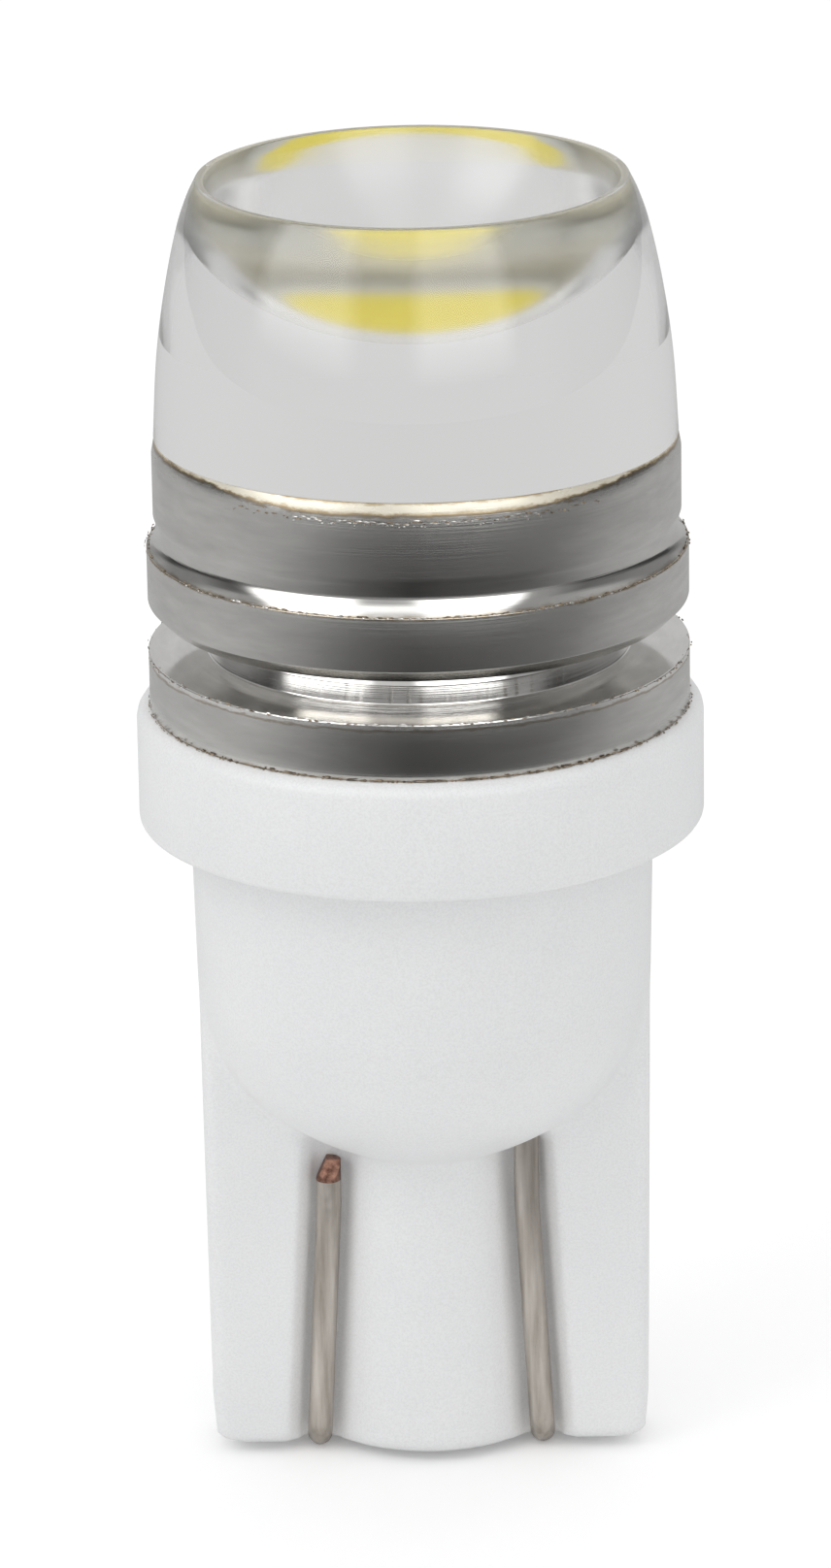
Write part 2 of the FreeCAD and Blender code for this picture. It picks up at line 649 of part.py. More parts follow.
board = body("led_board")
turned(board, "led_board_disc", (
    ("0", POCKET_FLOOR),
    (LED_BOARD, POCKET_FLOOR),
    (LED_BOARD, LED_BOARD_TOP),
    ("0", LED_BOARD_TOP),
))
for name, x in FEEDS:
    drilled(board, "board_hole_" + name, x, FEED_Y, FEED_HOLE,
            "(" + POCKET_FLOOR + ")", "(" + LED_BOARD_TOP + ")")

slug = body("led_slug")
turned(slug, "led_slug_turning", (
    ("0", LED_BOARD_TOP),
    (s("{slug_radius} - {emitter_fit}"), LED_BOARD_TOP),
    (s("{slug_radius} - {emitter_fit}"), CUP_FLOOR),
    ("0", CUP_FLOOR),
))

frame = body("led_frame")
turned(frame, "led_frame_turning", (
    (s("{slug_radius}"), LED_BOARD_TOP),
    (FRAME, LED_BOARD_TOP),
    (FRAME, FRAME_TOP),
    (CUP, FRAME_TOP),
    (CUP_FOOT, CUP_FLOOR),
    (s("{slug_radius}"), CUP_FLOOR),
))


def block(label, width, depth, height, x, y, z):
    """Box whose size and lowest corner are expressions, kept as a sub-part or as a tool."""
    made = doc.addObject("Part::Box", label)
    made.Label = label
    made.setExpression("Length", width)
    made.setExpression("Width", depth)
    made.setExpression("Height", height)
    made.setExpression("Placement.Base.x", x)
    made.setExpression("Placement.Base.y", y)
    made.setExpression("Placement.Base.z", z)
    return made


DIE = s("{die_side}")
DIE_HEIGHT = s("{die_thickness}")
die = block("led_die", DIE, DIE, DIE_HEIGHT, "-" + DIE + "/2", "-" + DIE + "/2", CUP_FLOOR)

fill = body("led_phosphor_fill")
FILL_TOP = FRAME_TOP + "+" + s("{phosphor_crown}")
FILL_FLOOR_RADIUS = "(" + CUP_FOOT + "-" + s("{emitter_fit}") + ")"
FILL_RADIUS = "(" + CUP + "-" + s("{emitter_fit}") + ")"
turned(fill, "led_phosphor_turning", (
    ("0", CUP_FLOOR),
    (FILL_FLOOR_RADIUS, CUP_FLOOR),
    (FILL_RADIUS, FRAME_TOP),
    ("0", FILL_TOP),
))
phosphor = doc.addObject("Part::Cut", "led_phosphor")
phosphor.Label = "led_phosphor"
phosphor.Base = fill
phosphor.Tool = block("die_space", DIE, DIE, DIE_HEIGHT, "-" + DIE + "/2", "-" + DIE + "/2", CUP_FLOOR)


def led_lead(label, sign):
    """Stepped lead from the frame's side down to the board."""
    near = FRAME
    far = LED_BOARD + "-" + s("{lead_margin}")
    step = "(" + FRAME + "+" + far + ")/2"
    made = body(label)
    sheetlike = s("{lead_thickness}")
    high = LED_BOARD_TOP + "+" + s("{lead_rise}")
    corners = (
        (near, high),
        (step + "-" + sheetlike, high),
        (step + "-" + sheetlike, LED_BOARD_TOP),
        (far, LED_BOARD_TOP),
        (far, LED_BOARD_TOP + "+" + sheetlike),
        (step, LED_BOARD_TOP + "+" + sheetlike),
        (step, high + "+" + sheetlike),
        (near, high + "+" + sheetlike),
    )
    signed = tuple((sign + "(" + x + ")", z) for x, z in corners)
    profile = outline(made, label + "_profile", "XZ_Plane", signed)
    pad = made.newObject("PartDesign::Pad", label + "_strip")
    pad.Profile = profile
    pad.Midplane = True
    pad.setExpression("Length", s("{lead_width}"))
    return made


lead_plus = led_lead("led_lead_plus", "")
lead_minus = led_lead("led_lead_minus", "-")
doc.recompute()

# Driver board, standing on edge between the two contact wires, with what is soldered to it

driver = block("driver_board", s("{driver_width}"), s("{driver_thickness}"), s("{driver_height}"),
               "-" + s("{driver_width} / 2"), "-" + BOARD_FACE, DRIVER_BOTTOM)


def chip(label, front, x, prefix):
    """Chip that sits flat on the front or back face of the driver board."""
    width = s("{%s_width}" % prefix)
    depth = s("{%s_depth}" % prefix)
    y = "-" + BOARD_FACE + "-" + depth if front else BOARD_FACE
    return block(label, width, depth, s("{%s_height}" % prefix), x + "-" + width + "/2", y,
                 DRIVER_BOTTOM + "+" + s("{%s_lift}" % prefix))


rectifier = chip("rectifier_chip", True, "0", "rectifier")
capacitor = chip("chip_capacitor", True, "0", "capacitor")
regulator = chip("regulator_chip", False, "0", "regulator")
resistors = [chip("chip_resistor_%d" % (number + 1), False, "0", "resistor") for number in range(2)]
for number, resistor in enumerate(resistors):
    resistor.setExpression("Placement.Base.z", DRIVER_BOTTOM + "+" + s("{resistor_lift}")
                           + "+" + s("{resistor_pitch}") + "*" + str(number))
doc.recompute()


def solder(label, wire, x, way):
    """Solder joint, tapered from its pad on the driver board up round the contact wire."""
    tilt = 90 if way else -90
    bead = doc.addObject("Part::Cone", label + "_bead")
    bead.Placement = FreeCAD.Placement(FreeCAD.Vector(), FreeCAD.Rotation(FreeCAD.Vector(1, 0, 0), tilt))
    bead.setExpression("Radius1", s("{solder_width} / 2"))
    bead.setExpression("Radius2", WIRE_RADIUS)
    bead.setExpression("Height", WIRE_FACE + "-" + BOARD_FACE)
    bead.setExpression("Placement.Base.x", x)
    bead.setExpression("Placement.Base.y", way + BOARD_FACE)
    bead.setExpression("Placement.Base.z", DRIVER_BOTTOM + "+" + s("{solder_lift}"))
    joint = doc.addObject("Part::Cut", label)
    joint.Label = label
    joint.Base = bead
    joint.Tool = wire
    return joint


solder_right = solder("solder_joint_right", contact_right, WIRE_UPPER, "-")
solder_left = solder("solder_joint_left", contact_left, "-" + WIRE_UPPER, "")


def feed_wire(label, x):
    """Insulated wire from the driver board, through the heat sink, to the light emitter's board."""
    made = doc.addObject("Part::Cylinder", label)
    made.Label = label
    bottom = DRIVER_TOP + "-" + s("{feed_overlap}")
    made.setExpression("Radius", s("{feed_diameter} / 2"))
    made.setExpression("Height", LED_BOARD_TOP + "-" + s("{feed_stub}") + "-(" + bottom + ")")
    made.setExpression("Placement.Base.x", x)
    made.setExpression("Placement.Base.y", FEED_Y)
    made.setExpression("Placement.Base.z", bottom)
    return made


feeds = [feed_wire("feed_wire_" + name, x) for name, x in FEEDS]
doc.recompute()

# Check every object, then write each sub-part

PARTS = [base, contact_right, contact_left, sink, lens]
PARTS += [board, slug, frame, die, phosphor, lead_plus, lead_minus]
PARTS += [driver, rectifier, capacitor, regulator, solder_right, solder_left] + resistors + feeds
for thing in doc.Objects:
    if "Invalid" in thing.State or "Error" in thing.State:
        raise RuntimeError(thing.Name + " could not be built: " + ", ".join(thing.State))
os.makedirs("parts", exist_ok=True)
for part in PARTS:
    if part.Shape.isNull() or not part.Shape.isValid():
        raise RuntimeError(part.Label + " has no valid shape")
    part.Shape.exportStep(os.path.join("parts", part.Label + ".step"))
    print(part.Label, len(part.Shape.Solids), round(part.Shape.Volume, 3))
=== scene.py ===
# %% [markdown]
# # Wedge base LED bulb
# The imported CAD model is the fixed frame. It gives every node's place and size in metres, with the
# bulb's axis on Z and the blade's width along X. Each cell makes one piece or one finish around it.

# %% Load the frame
import math

import bmesh
import bpy
from mathutils import Matrix, Vector


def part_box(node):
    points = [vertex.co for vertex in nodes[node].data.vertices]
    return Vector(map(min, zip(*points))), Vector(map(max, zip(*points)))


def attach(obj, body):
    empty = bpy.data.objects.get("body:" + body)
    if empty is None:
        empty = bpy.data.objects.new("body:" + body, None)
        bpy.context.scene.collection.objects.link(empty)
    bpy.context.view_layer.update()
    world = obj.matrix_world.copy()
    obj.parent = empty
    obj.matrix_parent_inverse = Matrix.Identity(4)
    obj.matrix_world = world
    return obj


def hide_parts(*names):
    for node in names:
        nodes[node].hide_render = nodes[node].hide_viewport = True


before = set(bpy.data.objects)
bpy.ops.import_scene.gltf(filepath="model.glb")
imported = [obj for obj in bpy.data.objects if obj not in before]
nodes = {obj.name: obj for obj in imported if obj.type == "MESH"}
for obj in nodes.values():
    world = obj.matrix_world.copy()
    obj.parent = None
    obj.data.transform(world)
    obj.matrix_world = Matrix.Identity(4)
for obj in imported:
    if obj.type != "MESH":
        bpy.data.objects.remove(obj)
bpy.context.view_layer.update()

MM = 0.001
scene = bpy.context.scene


def heights(node):
    """Lowest and highest point of a CAD node, in millimetres."""
    low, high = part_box(node)
    return low[2] / MM, high[2] / MM


def object_of(name, data):
    """New object in the scene for a mesh, a camera or a lamp."""
    made = bpy.data.objects.new(name, data)
    scene.collection.objects.link(made)
    return made


SEAT = 13.95
LENS_TOP = heights("lens")[1]
SPIGOT_BOTTOM, SLEEVE_TOP = heights("heat_sink")
BLADE_BOTTOM, COLLAR_TOP = heights("wedge_base")
print("bulb", round(LENS_TOP, 2), "mm tall, sleeve ends at", round(SLEEVE_TOP, 2),
      "and collar at", round(COLLAR_TOP, 2))

# %% [markdown]
# ## The camera
# A small object is photographed from a distance with a long lens, so its sides stay nearly
# parallel. A look down of under 19 degrees shows into the bowl of the lens. The camera is rolled a
# little, because the bulb leans left.

# %% Camera
LOOK_DOWN = math.radians(18.67)
DISTANCE = 0.15
AIM = Vector((0, 0, 0.0145))
ROLL = math.radians(0.9)
FOCAL = 167.6
LONG_SIDE = 1616
AIM_RIGHT_OF_MIDDLE = 6.1

camera_data = bpy.data.cameras.new("camera")
camera = object_of("camera", camera_data)
away = Vector((0, -math.cos(LOOK_DOWN), math.sin(LOOK_DOWN)))
camera.location = AIM + away * DISTANCE
aimed = away.to_track_quat("Z", "Y").to_matrix()
camera.rotation_euler = (aimed @ Matrix.Rotation(-ROLL, 3, "Z")).to_euler()
camera_data.lens = FOCAL
camera_data.sensor_width = 36
camera_data.shift_x = -AIM_RIGHT_OF_MIDDLE / LONG_SIDE
camera_data.clip_start = 0.01
camera_data.clip_end = 20
scene.camera = camera
print("camera", [round(v / MM, 1) for v in camera.location], "mm")

# %% [markdown]
# ## Light
# Clear plastic and polished metal show what is around them more than their own colour. So the world
# has a strength for each kind of ray: white for the camera, light grey for what shows through the
# lens, a darker grey for what the metal mirrors, and a pale surround that lights everything else.
# The lamps only have to add soft direction.

# %% World
SURROUND = 0.84
SEEN_THROUGH = 0.66
MIRRORED = 0.36


def link(tree, start, end):
    """Join two sockets of a node tree."""
    tree.links.new(start, end)


def math_node(tree, operation, first, second=None, third=None, clamp=False):
    """Math node whose inputs are numbers or sockets."""
    node = tree.nodes.new("ShaderNodeMath")
    node.operation = operation
    node.use_clamp = clamp
    for place, item in enumerate((first, second, third)):
        if item is None:
            continue
        if isinstance(item, (int, float)):
            node.inputs[place].default_value = item
        else:
            link(tree, item, node.inputs[place])
    return node.outputs[0]


def ramp(tree, factor, stops):
    """Colour ramp through pairs of position and grey or colour."""
    node = tree.nodes.new("ShaderNodeValToRGB")
    elements = node.color_ramp.elements
    while len(elements) < len(stops):
        elements.new(0.5)
    for element, (place, shade) in zip(elements, stops):
        element.position = place
        element.color = (shade, shade, shade, 1) if isinstance(shade, float) else (*shade, 1)
    link(tree, factor, node.inputs[0])
    return node.outputs[0]


world = bpy.data.worlds.new("studio")
world.use_nodes = True
scene.world = world
tree = world.node_tree
sky = tree.nodes["Background"]
ray = tree.nodes.new("ShaderNodeLightPath").outputs
first_hit = math_node(tree, "LESS_THAN", ray["Diffuse Depth"], 0.5)
through = math_node(tree, "MULTIPLY", ray["Is Transmission Ray"], first_hit)
# A ray bent by the lens counts as glossy too, so those are taken off the mirrored ones.
mirrored = math_node(tree, "SUBTRACT", ray["Is Glossy Ray"], ray["Is Transmission Ray"], clamp=True)
strength = math_node(tree, "MULTIPLY_ADD", ray["Is Camera Ray"], 1.0 - SURROUND, SURROUND)
strength = math_node(tree, "MULTIPLY_ADD", through, SEEN_THROUGH - SURROUND, strength)
strength = math_node(tree, "MULTIPLY_ADD", mirrored, MIRRORED - SURROUND, strength)
link(tree, strength, sky.inputs["Strength"])
sky.inputs["Color"].default_value = (1, 1, 1, 1)
print("surround", SURROUND, "seen through the lens", SEEN_THROUGH, "mirrored", MIRRORED)

# %% Lamps
LAMPS = (
    # name, place in metres, side in metres, power in watts
    ("key", (-0.22, -0.16, 0.26), 0.16, 0.14),
    ("fill", (0.26, -0.10, 0.16), 0.14, 0.008),
    ("top", (0.02, 0.06, 0.36), 0.22, 0.07),
)


def lamp(name, place, side, power):
    """Square soft lamp that faces the middle of the bulb."""
    data = bpy.data.lights.new(name, "AREA")
    data.size = side
    data.energy = power
    made = object_of(name, data)
    made.location = place
    made.rotation_euler = (Vector(place) - AIM).to_track_quat("Z", "Y").to_euler()
    made.visible_transmission = False


for values in LAMPS:
    lamp(*values)
print(len(LAMPS), "lamps")

# %% [markdown]
# ## Floor
# The bulb stands on a plain pale floor that keeps its soft shadow. Through the lens the floor is
# the same light grey as the world. A little light that only the camera sees brings it up to the
# white of the background.

# %% Floor
FLOOR_HALF = 3.0
PAPER_WHITE = 0.17


def mesh_object(name, points, faces, edges=()):
    """New object from points in metres and faces, or edges."""
    mesh = bpy.data.meshes.new(name)
    mesh.from_pydata(points, edges, faces)
    mesh.update()
    return object_of(name, mesh)


def polyline(name, points):
    """New object of edges that join the points in turn."""
    return mesh_object(name, points, [], [(n, n + 1) for n in range(len(points) - 1)])


def new_material(name):
    """Material with a Principled shader, and its node tree."""
    made = bpy.data.materials.new(name)
    made.use_nodes = True
    return made, made.node_tree, made.node_tree.nodes["Principled BSDF"]


corners = [(x * FLOOR_HALF, y * FLOOR_HALF, 0) for x, y in ((-1, -1), (1, -1), (1, 1), (-1, 1))]
floor = mesh_object("floor", corners, [(0, 1, 2, 3)])
pale, tree, shader = new_material("pale_floor")
shader.inputs["Base Color"].default_value = (0.93, 0.93, 0.93, 1)
shader.inputs["Roughness"].default_value = 0.9
shader.inputs["Specular IOR Level"].default_value = 0.1
ray = tree.nodes.new("ShaderNodeLightPath").outputs
grey = tree.nodes.new("ShaderNodeEmission")
grey.inputs["Color"].default_value = (SEEN_THROUGH, SEEN_THROUGH, SEEN_THROUGH, 1)
mixed = tree.nodes.new("ShaderNodeMixShader")
link(tree, ray["Is Transmission Ray"], mixed.inputs[0])
link(tree, shader.outputs[0], mixed.inputs[1])
link(tree, grey.outputs[0], mixed.inputs[2])
white_paper = tree.nodes.new("ShaderNodeEmission")
camera_only = math_node(tree, "MULTIPLY", ray["Is Camera Ray"], PAPER_WHITE)
link(tree, camera_only, white_paper.inputs["Strength"])
summed = tree.nodes.new("ShaderNodeAddShader")
link(tree, mixed.outputs[0], summed.inputs[0])
link(tree, white_paper.outputs[0], summed.inputs[1])
link(tree, summed.outputs[0], tree.nodes["Material Output"].inputs["Surface"])
floor.data.materials.append(pale)
print("floor", 2 * FLOOR_HALF, "m wide")

# %% [markdown]
# ## Card and tent
# Only mirrored rays see these two. Upright metal faces mirror the floor, so a card lies on it, dark
# in front and paler to the sides. Faces that lean upwards mirror a tent with two soft boxes: they
# make the highlights of the cove, the core and the lens. The shades are ramps over the bearing, as
# a share of a full turn from the back, and over the rise, as a share of the way from the floor to
# straight above.

# %% Graded card and tent
CARD_INNER = 0.013
CARD_OUTER = 0.279
CARD_LIFT = 0.0004
CARD_SHADES = ((0.0, 0.50), (0.18, 0.60), (0.25, 0.62), (0.31, 0.52), (0.367, 0.33), (0.397, 0.21),
               (0.43, 0.13), (0.49, 0.055), (0.55, 0.09), (0.61, 0.13), (0.64, 0.16), (0.675, 0.23),
               (0.71, 0.34), (0.755, 0.48), (0.82, 0.56), (1.0, 0.50))
TENT_SIZE = 0.28
TENT_AROUND, TENT_UP = 96, 16
TENT_BASE = 0.36
TENT_GLOW = 3.0
TENT_BEARINGS = ((0.0, 0.08), (0.2, 0.08), (0.28, 0.0), (0.305, 1.0), (0.405, 1.0), (0.435, 0.10),
                 (0.49, 0.10), (0.515, 1.0), (0.61, 1.0), (0.635, 0.0), (0.8, 0.08), (1.0, 0.08))
TENT_FILL = ((0.30, 0.0), (0.33, 0.45), (0.60, 0.45), (0.63, 0.0))
TENT_FILL_RISES = ((0.24, 0.0), (0.34, 1.0))
TENT_SIDES = ((0.08, 1.0), (0.14, 0.15), (0.26, 0.15), (0.30, 1.0), (0.66, 1.0), (0.71, 0.15), (0.87, 0.15),
              (0.92, 1.0))
TENT_SIDE_RISES = ((0.26, 0.0), (0.36, 1.0))
TENT_RISES = ((0.06, 0.0), (0.12, 1.0), (0.48, 1.0), (0.62, 0.45), (0.9, 0.3))


def glowing(name, points, faces, shade_from):
    """Card seen only in polished surfaces. shade_from makes its shade in its node tree."""
    made = mesh_object(name, points, faces)
    paint = bpy.data.materials.new(name)
    paint.use_nodes = True
    tree = paint.node_tree
    tree.nodes.remove(tree.nodes["Principled BSDF"])
    glow = tree.nodes.new("ShaderNodeEmission")
    link(tree, shade_from(tree), glow.inputs["Strength"])
    link(tree, glow.outputs[0], tree.nodes["Material Output"].inputs["Surface"])
    made.data.materials.append(paint)
    made.visible_camera = made.visible_diffuse = made.visible_transmission = made.visible_shadow = False
    print(name, "has", len(faces), "faces")


def object_place(tree):
    """Place on the object, in metres."""
    return tree.nodes.new("ShaderNodeTexCoord").outputs["Object"]


def object_xyz(tree):
    """The same place as three numbers."""
    split = tree.nodes.new("ShaderNodeSeparateXYZ")
    link(tree, object_place(tree), split.inputs[0])
    return split.outputs


def bearing(tree):
    """Share of a full turn at the point, from the back round by the left, and the point's height."""
    x, y, z = object_xyz(tree)
    turn = math_node(tree, "ARCTAN2", x, math_node(tree, "MULTIPLY", y, -1.0))
    return math_node(tree, "MULTIPLY_ADD", turn, 0.5 / math.pi, 0.5), z


def card_shade(tree):
    """Shade of the card, by bearing alone."""
    return ramp(tree, bearing(tree)[0], CARD_SHADES)


def tent_shade(tree):
    """Two soft boxes with a gap between them, that run together higher up."""
    turn, height = bearing(tree)
    slope = math_node(tree, "ARCSINE", math_node(tree, "DIVIDE", height, TENT_SIZE))
    rise = math_node(tree, "MULTIPLY", slope, 2 / math.pi)
    fill = math_node(tree, "MULTIPLY", ramp(tree, turn, TENT_FILL), ramp(tree, rise, TENT_FILL_RISES))
    boxes = math_node(tree, "MULTIPLY", math_node(tree, "MAXIMUM", fill, ramp(tree, turn, TENT_BEARINGS)),
                      ramp(tree, rise, TENT_RISES))
    sides = math_node(tree, "MAXIMUM", ramp(tree, turn, TENT_SIDES), ramp(tree, rise, TENT_SIDE_RISES))
    return math_node(tree, "MULTIPLY_ADD", boxes, TENT_GLOW, math_node(tree, "MULTIPLY", sides, TENT_BASE))


def ring_of(size, height, count):
    """Points evenly spaced round the axis."""
    turns = (2 * math.pi * n / count for n in range(count))
    return [(size * math.cos(a), size * math.sin(a), height) for a in turns]


def bands(rings, count):
    """Faces between rings of points that follow each other."""
    pairs = [(n, (n + 1) % count) for n in range(count)]
    return [(r * count + n, r * count + after, (r + 1) * count + after, (r + 1) * count + n)
            for r in range(rings - 1) for n, after in pairs]


card_points = ring_of(CARD_OUTER, CARD_LIFT, TENT_AROUND) + ring_of(CARD_INNER, CARD_LIFT, TENT_AROUND)
glowing("graded_card", card_points, bands(2, TENT_AROUND), card_shade)
tent_points = []
for step in range(TENT_UP):
    up = math.pi / 2 * step / TENT_UP
    tent_points += ring_of(TENT_SIZE * math.cos(up), TENT_SIZE * math.sin(up), TENT_AROUND)
glowing("light_tent", tent_points, bands(TENT_UP, TENT_AROUND), tent_shade)

# %% [markdown]
# ## Turning a profile
# The lens, the heat sink and the collar are round, as if made on a lathe. Each starts as an outline
# of radius and height, with its corners rounded off by a tiny arc, because a real edge is never
# perfectly sharp and the small round catches light. The outline is then swept round the axis in
# mesh code.

# %% Profile helpers
ARC_STEPS = 4
ON_AXIS = 1e-7


def arc_points(start, end, radius, side, steps):
    """Points on the minor arc from start to end. side is 1 for a centre on the left, -1 on the right."""
    start, end = Vector(start), Vector(end)
    chord = end - start
    rise = math.sqrt(radius ** 2 - (chord.length / 2) ** 2)
    across = Vector((-chord.y, chord.x)).normalized() * side
    centre = (start + end) / 2 + across * rise
    first, last = start - centre, end - centre
    turn = first.angle_signed(last)
    return [centre + Matrix.Rotation(-turn * step / steps, 2) @ first for step in range(steps + 1)]


def rounded_corner(before, corner, after, radius, steps=ARC_STEPS):
    """Points that round a corner off with an arc."""
    before, corner, after = Vector(before), Vector(corner), Vector(after)
    into, out = (before - corner).normalized(), (after - corner).normalized()
    half = into.angle(out) / 2
    reach = radius / math.tan(half)
    start, end = corner + into * reach, corner + out * reach
    side = 1 if (corner - before).to_3d().cross((after - corner).to_3d()).z > 0 else -1
    return arc_points(start, end, radius, side, steps)


def rounded_profile(corners):
    """Outline from corners of radius, height and, where the corner is rounded, the round's radius."""
    points = []
    count = len(corners)
    for number, corner in enumerate(corners):
        if len(corner) == 3:
            before, after = corners[number - 1], corners[(number + 1) % count]
            points += rounded_corner(before[:2], corner[:2], after[:2], corner[2])
        else:
            points.append(Vector(corner))
    return points


def turned(name, profile, segments, closed=True):
    """Mesh swept round Z from a profile in millimetres. Points on the axis become a single pole."""
    mesh = bmesh.new()
    rings = []
    for point in profile:
        radius, height = point[0] * MM, point[1] * MM
        if radius < ON_AXIS:
            rings.append([mesh.verts.new((0, 0, height))])
        else:
            rings.append([mesh.verts.new(p) for p in ring_of(radius, height, segments)])
    pairs = list(zip(rings, rings[1:]))
    if closed:
        pairs.append((rings[-1], rings[0]))
    for low, high in pairs:
        if len(low) == 1 and len(high) == 1:
            continue
        for n in range(segments):
            after = (n + 1) % segments
            if len(low) == 1:
                mesh.faces.new((low[0], high[after], high[n]))
            elif len(high) == 1:
                mesh.faces.new((low[n], low[after], high[0]))
            else:
                mesh.faces.new((low[n], low[after], high[after], high[n]))
    bmesh.ops.recalc_face_normals(mesh, faces=mesh.faces)
    return smoothed(from_bmesh(name, mesh))


def from_bmesh(name, mesh):
    """New object from a bmesh, which is freed."""
    data = bpy.data.meshes.new(name)
    mesh.to_mesh(data)
    mesh.free()
    return object_of(name, data)


def smoothed(piece, sharp=30):
    """Shade the piece smooth, but for edges that turn by more than an angle in degrees."""
    piece.data.polygons.foreach_set("use_smooth", [True] * len(piece.data.polygons))
    piece.data.set_sharp_from_angle(angle=math.radians(sharp))
    return piece


def applied(piece):
    """Turn the piece's modifiers into plain mesh."""
    graph = bpy.context.evaluated_depsgraph_get()
    mesh = bpy.data.meshes.new_from_object(piece.evaluated_get(graph))
    piece.modifiers.clear()
    piece.data = mesh
    return piece


def even_shading(piece):
    """Let each corner's shading follow its largest face, so flat faces next to small rounds look flat."""
    weighted = piece.modifiers.new("even_shading", "WEIGHTED_NORMAL")
    weighted.keep_sharp = True
    return applied(piece)


def placed(piece, slot, *replaced):
    """Put a piece of the bulb on the root, where it may stand for CAD nodes, which are hidden."""
    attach(piece, "root")
    if replaced:
        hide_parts(*replaced)
    print(piece.name, len(piece.data.polygons), "faces")
    return piece


# %% [markdown]
# ## The lens
# The lens is one clear moulding: an ogive outside, a deep bowl in its top, and a flat foot bonded
# to the sleeve's end. The foot lies over an air gap, which acts as a mirror, and the bowl reflects
# the yellow light emitter. Both happen by themselves when the mesh is a closed solid with the true
# curves and refraction.

# %% Lens mesh
LENS_SEAT = heights("lens")[0]
LENS_HEIGHT = LENS_TOP - LENS_SEAT
LENS_FOOT = 5.31
LENS_RIM = 4.34
BOWL = 4.18
BOWL_DEPTH = 3.22
BOWL_ROUND = (BOWL ** 2 + BOWL_DEPTH ** 2) / (2 * BOWL_DEPTH)
FLANK_SHARES = ((0.0, 0.0), (0.20, 0.076), (0.41, 0.19), (0.68, 0.42), (0.89, 0.69), (1.0, 1.0))
FOOT_LIFT = 0.004
LIP = 0.05
BOWL_STEPS, FLANK_STEPS = 64, 9
ROUND_SEGMENTS = 256


def smooth_through(points, steps):
    """Points on a smooth curve through the given ones, whose ends run on straight."""
    points = [Vector(p) for p in points]
    line = [points[0] * 2 - points[1]] + points + [points[-1] * 2 - points[-2]]
    found = []
    for before, start, end, after in zip(line, line[1:], line[2:], line[3:]):
        reach = (end - start).length
        leave = (end - before).normalized() * reach
        arrive = (after - start).normalized() * reach
        for step in range(steps):
            t = step / steps
            found.append(start * (2 * t ** 3 - 3 * t ** 2 + 1) + leave * (t ** 3 - 2 * t ** 2 + t)
                         + end * (3 * t ** 2 - 2 * t ** 3) + arrive * (t ** 3 - t ** 2))
    return found + [points[-1]]


def lens_profile():
    """Outline of the lens from the bowl's middle, out over the rim, down the flank and in across the foot."""
    bowl = arc_points((0, LENS_TOP - BOWL_DEPTH), (BOWL, LENS_TOP), BOWL_ROUND, 1, BOWL_STEPS)
    knots = [(LENS_RIM + (LENS_FOOT - LENS_RIM) * out, LENS_TOP - LENS_HEIGHT * down)
             for out, down in FLANK_SHARES]
    flank = smooth_through(knots, FLANK_STEPS)
    inner_lip = rounded_corner(bowl[-2], (BOWL, LENS_TOP), (LENS_RIM, LENS_TOP), LIP)
    outer_lip = rounded_corner((BOWL, LENS_TOP), (LENS_RIM, LENS_TOP), flank[1], LIP)
    flank[-1].y += FOOT_LIFT
    return bowl[:-2] + inner_lip + outer_lip + flank[2:] + [Vector((0, LENS_SEAT + FOOT_LIFT))]


lens = turned("lens_moulding", lens_profile(), ROUND_SEGMENTS, closed=False)

# %% [markdown]
# ## Clear plastic
# The flank is polished and the bowl is slightly satin, which softens what it reflects. Light that
# is still inside the lens after several bounces would be lost and leave black spots, so a little
# light stands for it.

# %% Clear plastic
BOWL_ROUGH = 0.23
BOWL_MARGIN = 0.01
LATE_BOUNCE, LATE_LIGHT = 6, 0.22


def clear_plastic(name, roughness):
    """Add a clear plastic of some roughness to the lens."""
    made, tree, shader = new_material(name)
    shader.inputs["Base Color"].default_value = (0.985, 0.985, 0.98, 1)
    shader.inputs["Roughness"].default_value = roughness
    shader.inputs["IOR"].default_value = 1.49
    shader.inputs["Transmission Weight"].default_value = 1.0
    ray = tree.nodes.new("ShaderNodeLightPath").outputs
    late = math_node(tree, "GREATER_THAN", ray["Ray Depth"], LATE_BOUNCE - 0.5)
    shader.inputs["Emission Color"].default_value = (1, 1, 0.97, 1)
    link(tree, math_node(tree, "MULTIPLY", late, LATE_LIGHT), shader.inputs["Emission Strength"])
    lens.data.materials.append(made)


clear_plastic("clear_moulding", 0.0)
clear_plastic("satin_bowl", BOWL_ROUGH)
ball = Vector((0, 0, LENS_TOP - BOWL_DEPTH + BOWL_ROUND))
for face in lens.data.polygons:
    if abs((face.center / MM - ball).length - BOWL_ROUND) < BOWL_MARGIN:
        face.material_index = 1
placed(lens, "clear_acrylic", "lens")

# %% [markdown]
# ## The heat sink
# One bar of aluminium turned on a lathe: a sleeve for the lens, a cove, two fins with a narrow core
# between them, and a hollow spigot inside the base. Fine tool marks run round every face.

# %% Heat sink mesh
SLEEVE = 5.36
POCKET = 4.85
POCKET_FLOOR = SLEEVE_TOP - 1.9
BEAD_TALL, BEAD_LEAN = 0.36, 0.07
LOWER_FIN = 5.52
UPPER_FIN = 5.51
CORE = 4.3
CORE_WAIST = 4.19
FIN_TOP = 19.78
FIN_BOTTOM = 18.40
GROOVE_FLOOR = 17.59
CHAMFER = 0.27
RIDGE, RIDGE_FOOT = 0.015, GROOVE_FLOOR + 0.38
SPIGOT = 4.3
SPIGOT_BORE = 3.5
SPIGOT_CEILING = 17.19
COVE_ROUND = 0.62
COVE_TOP = FIN_TOP + 0.68


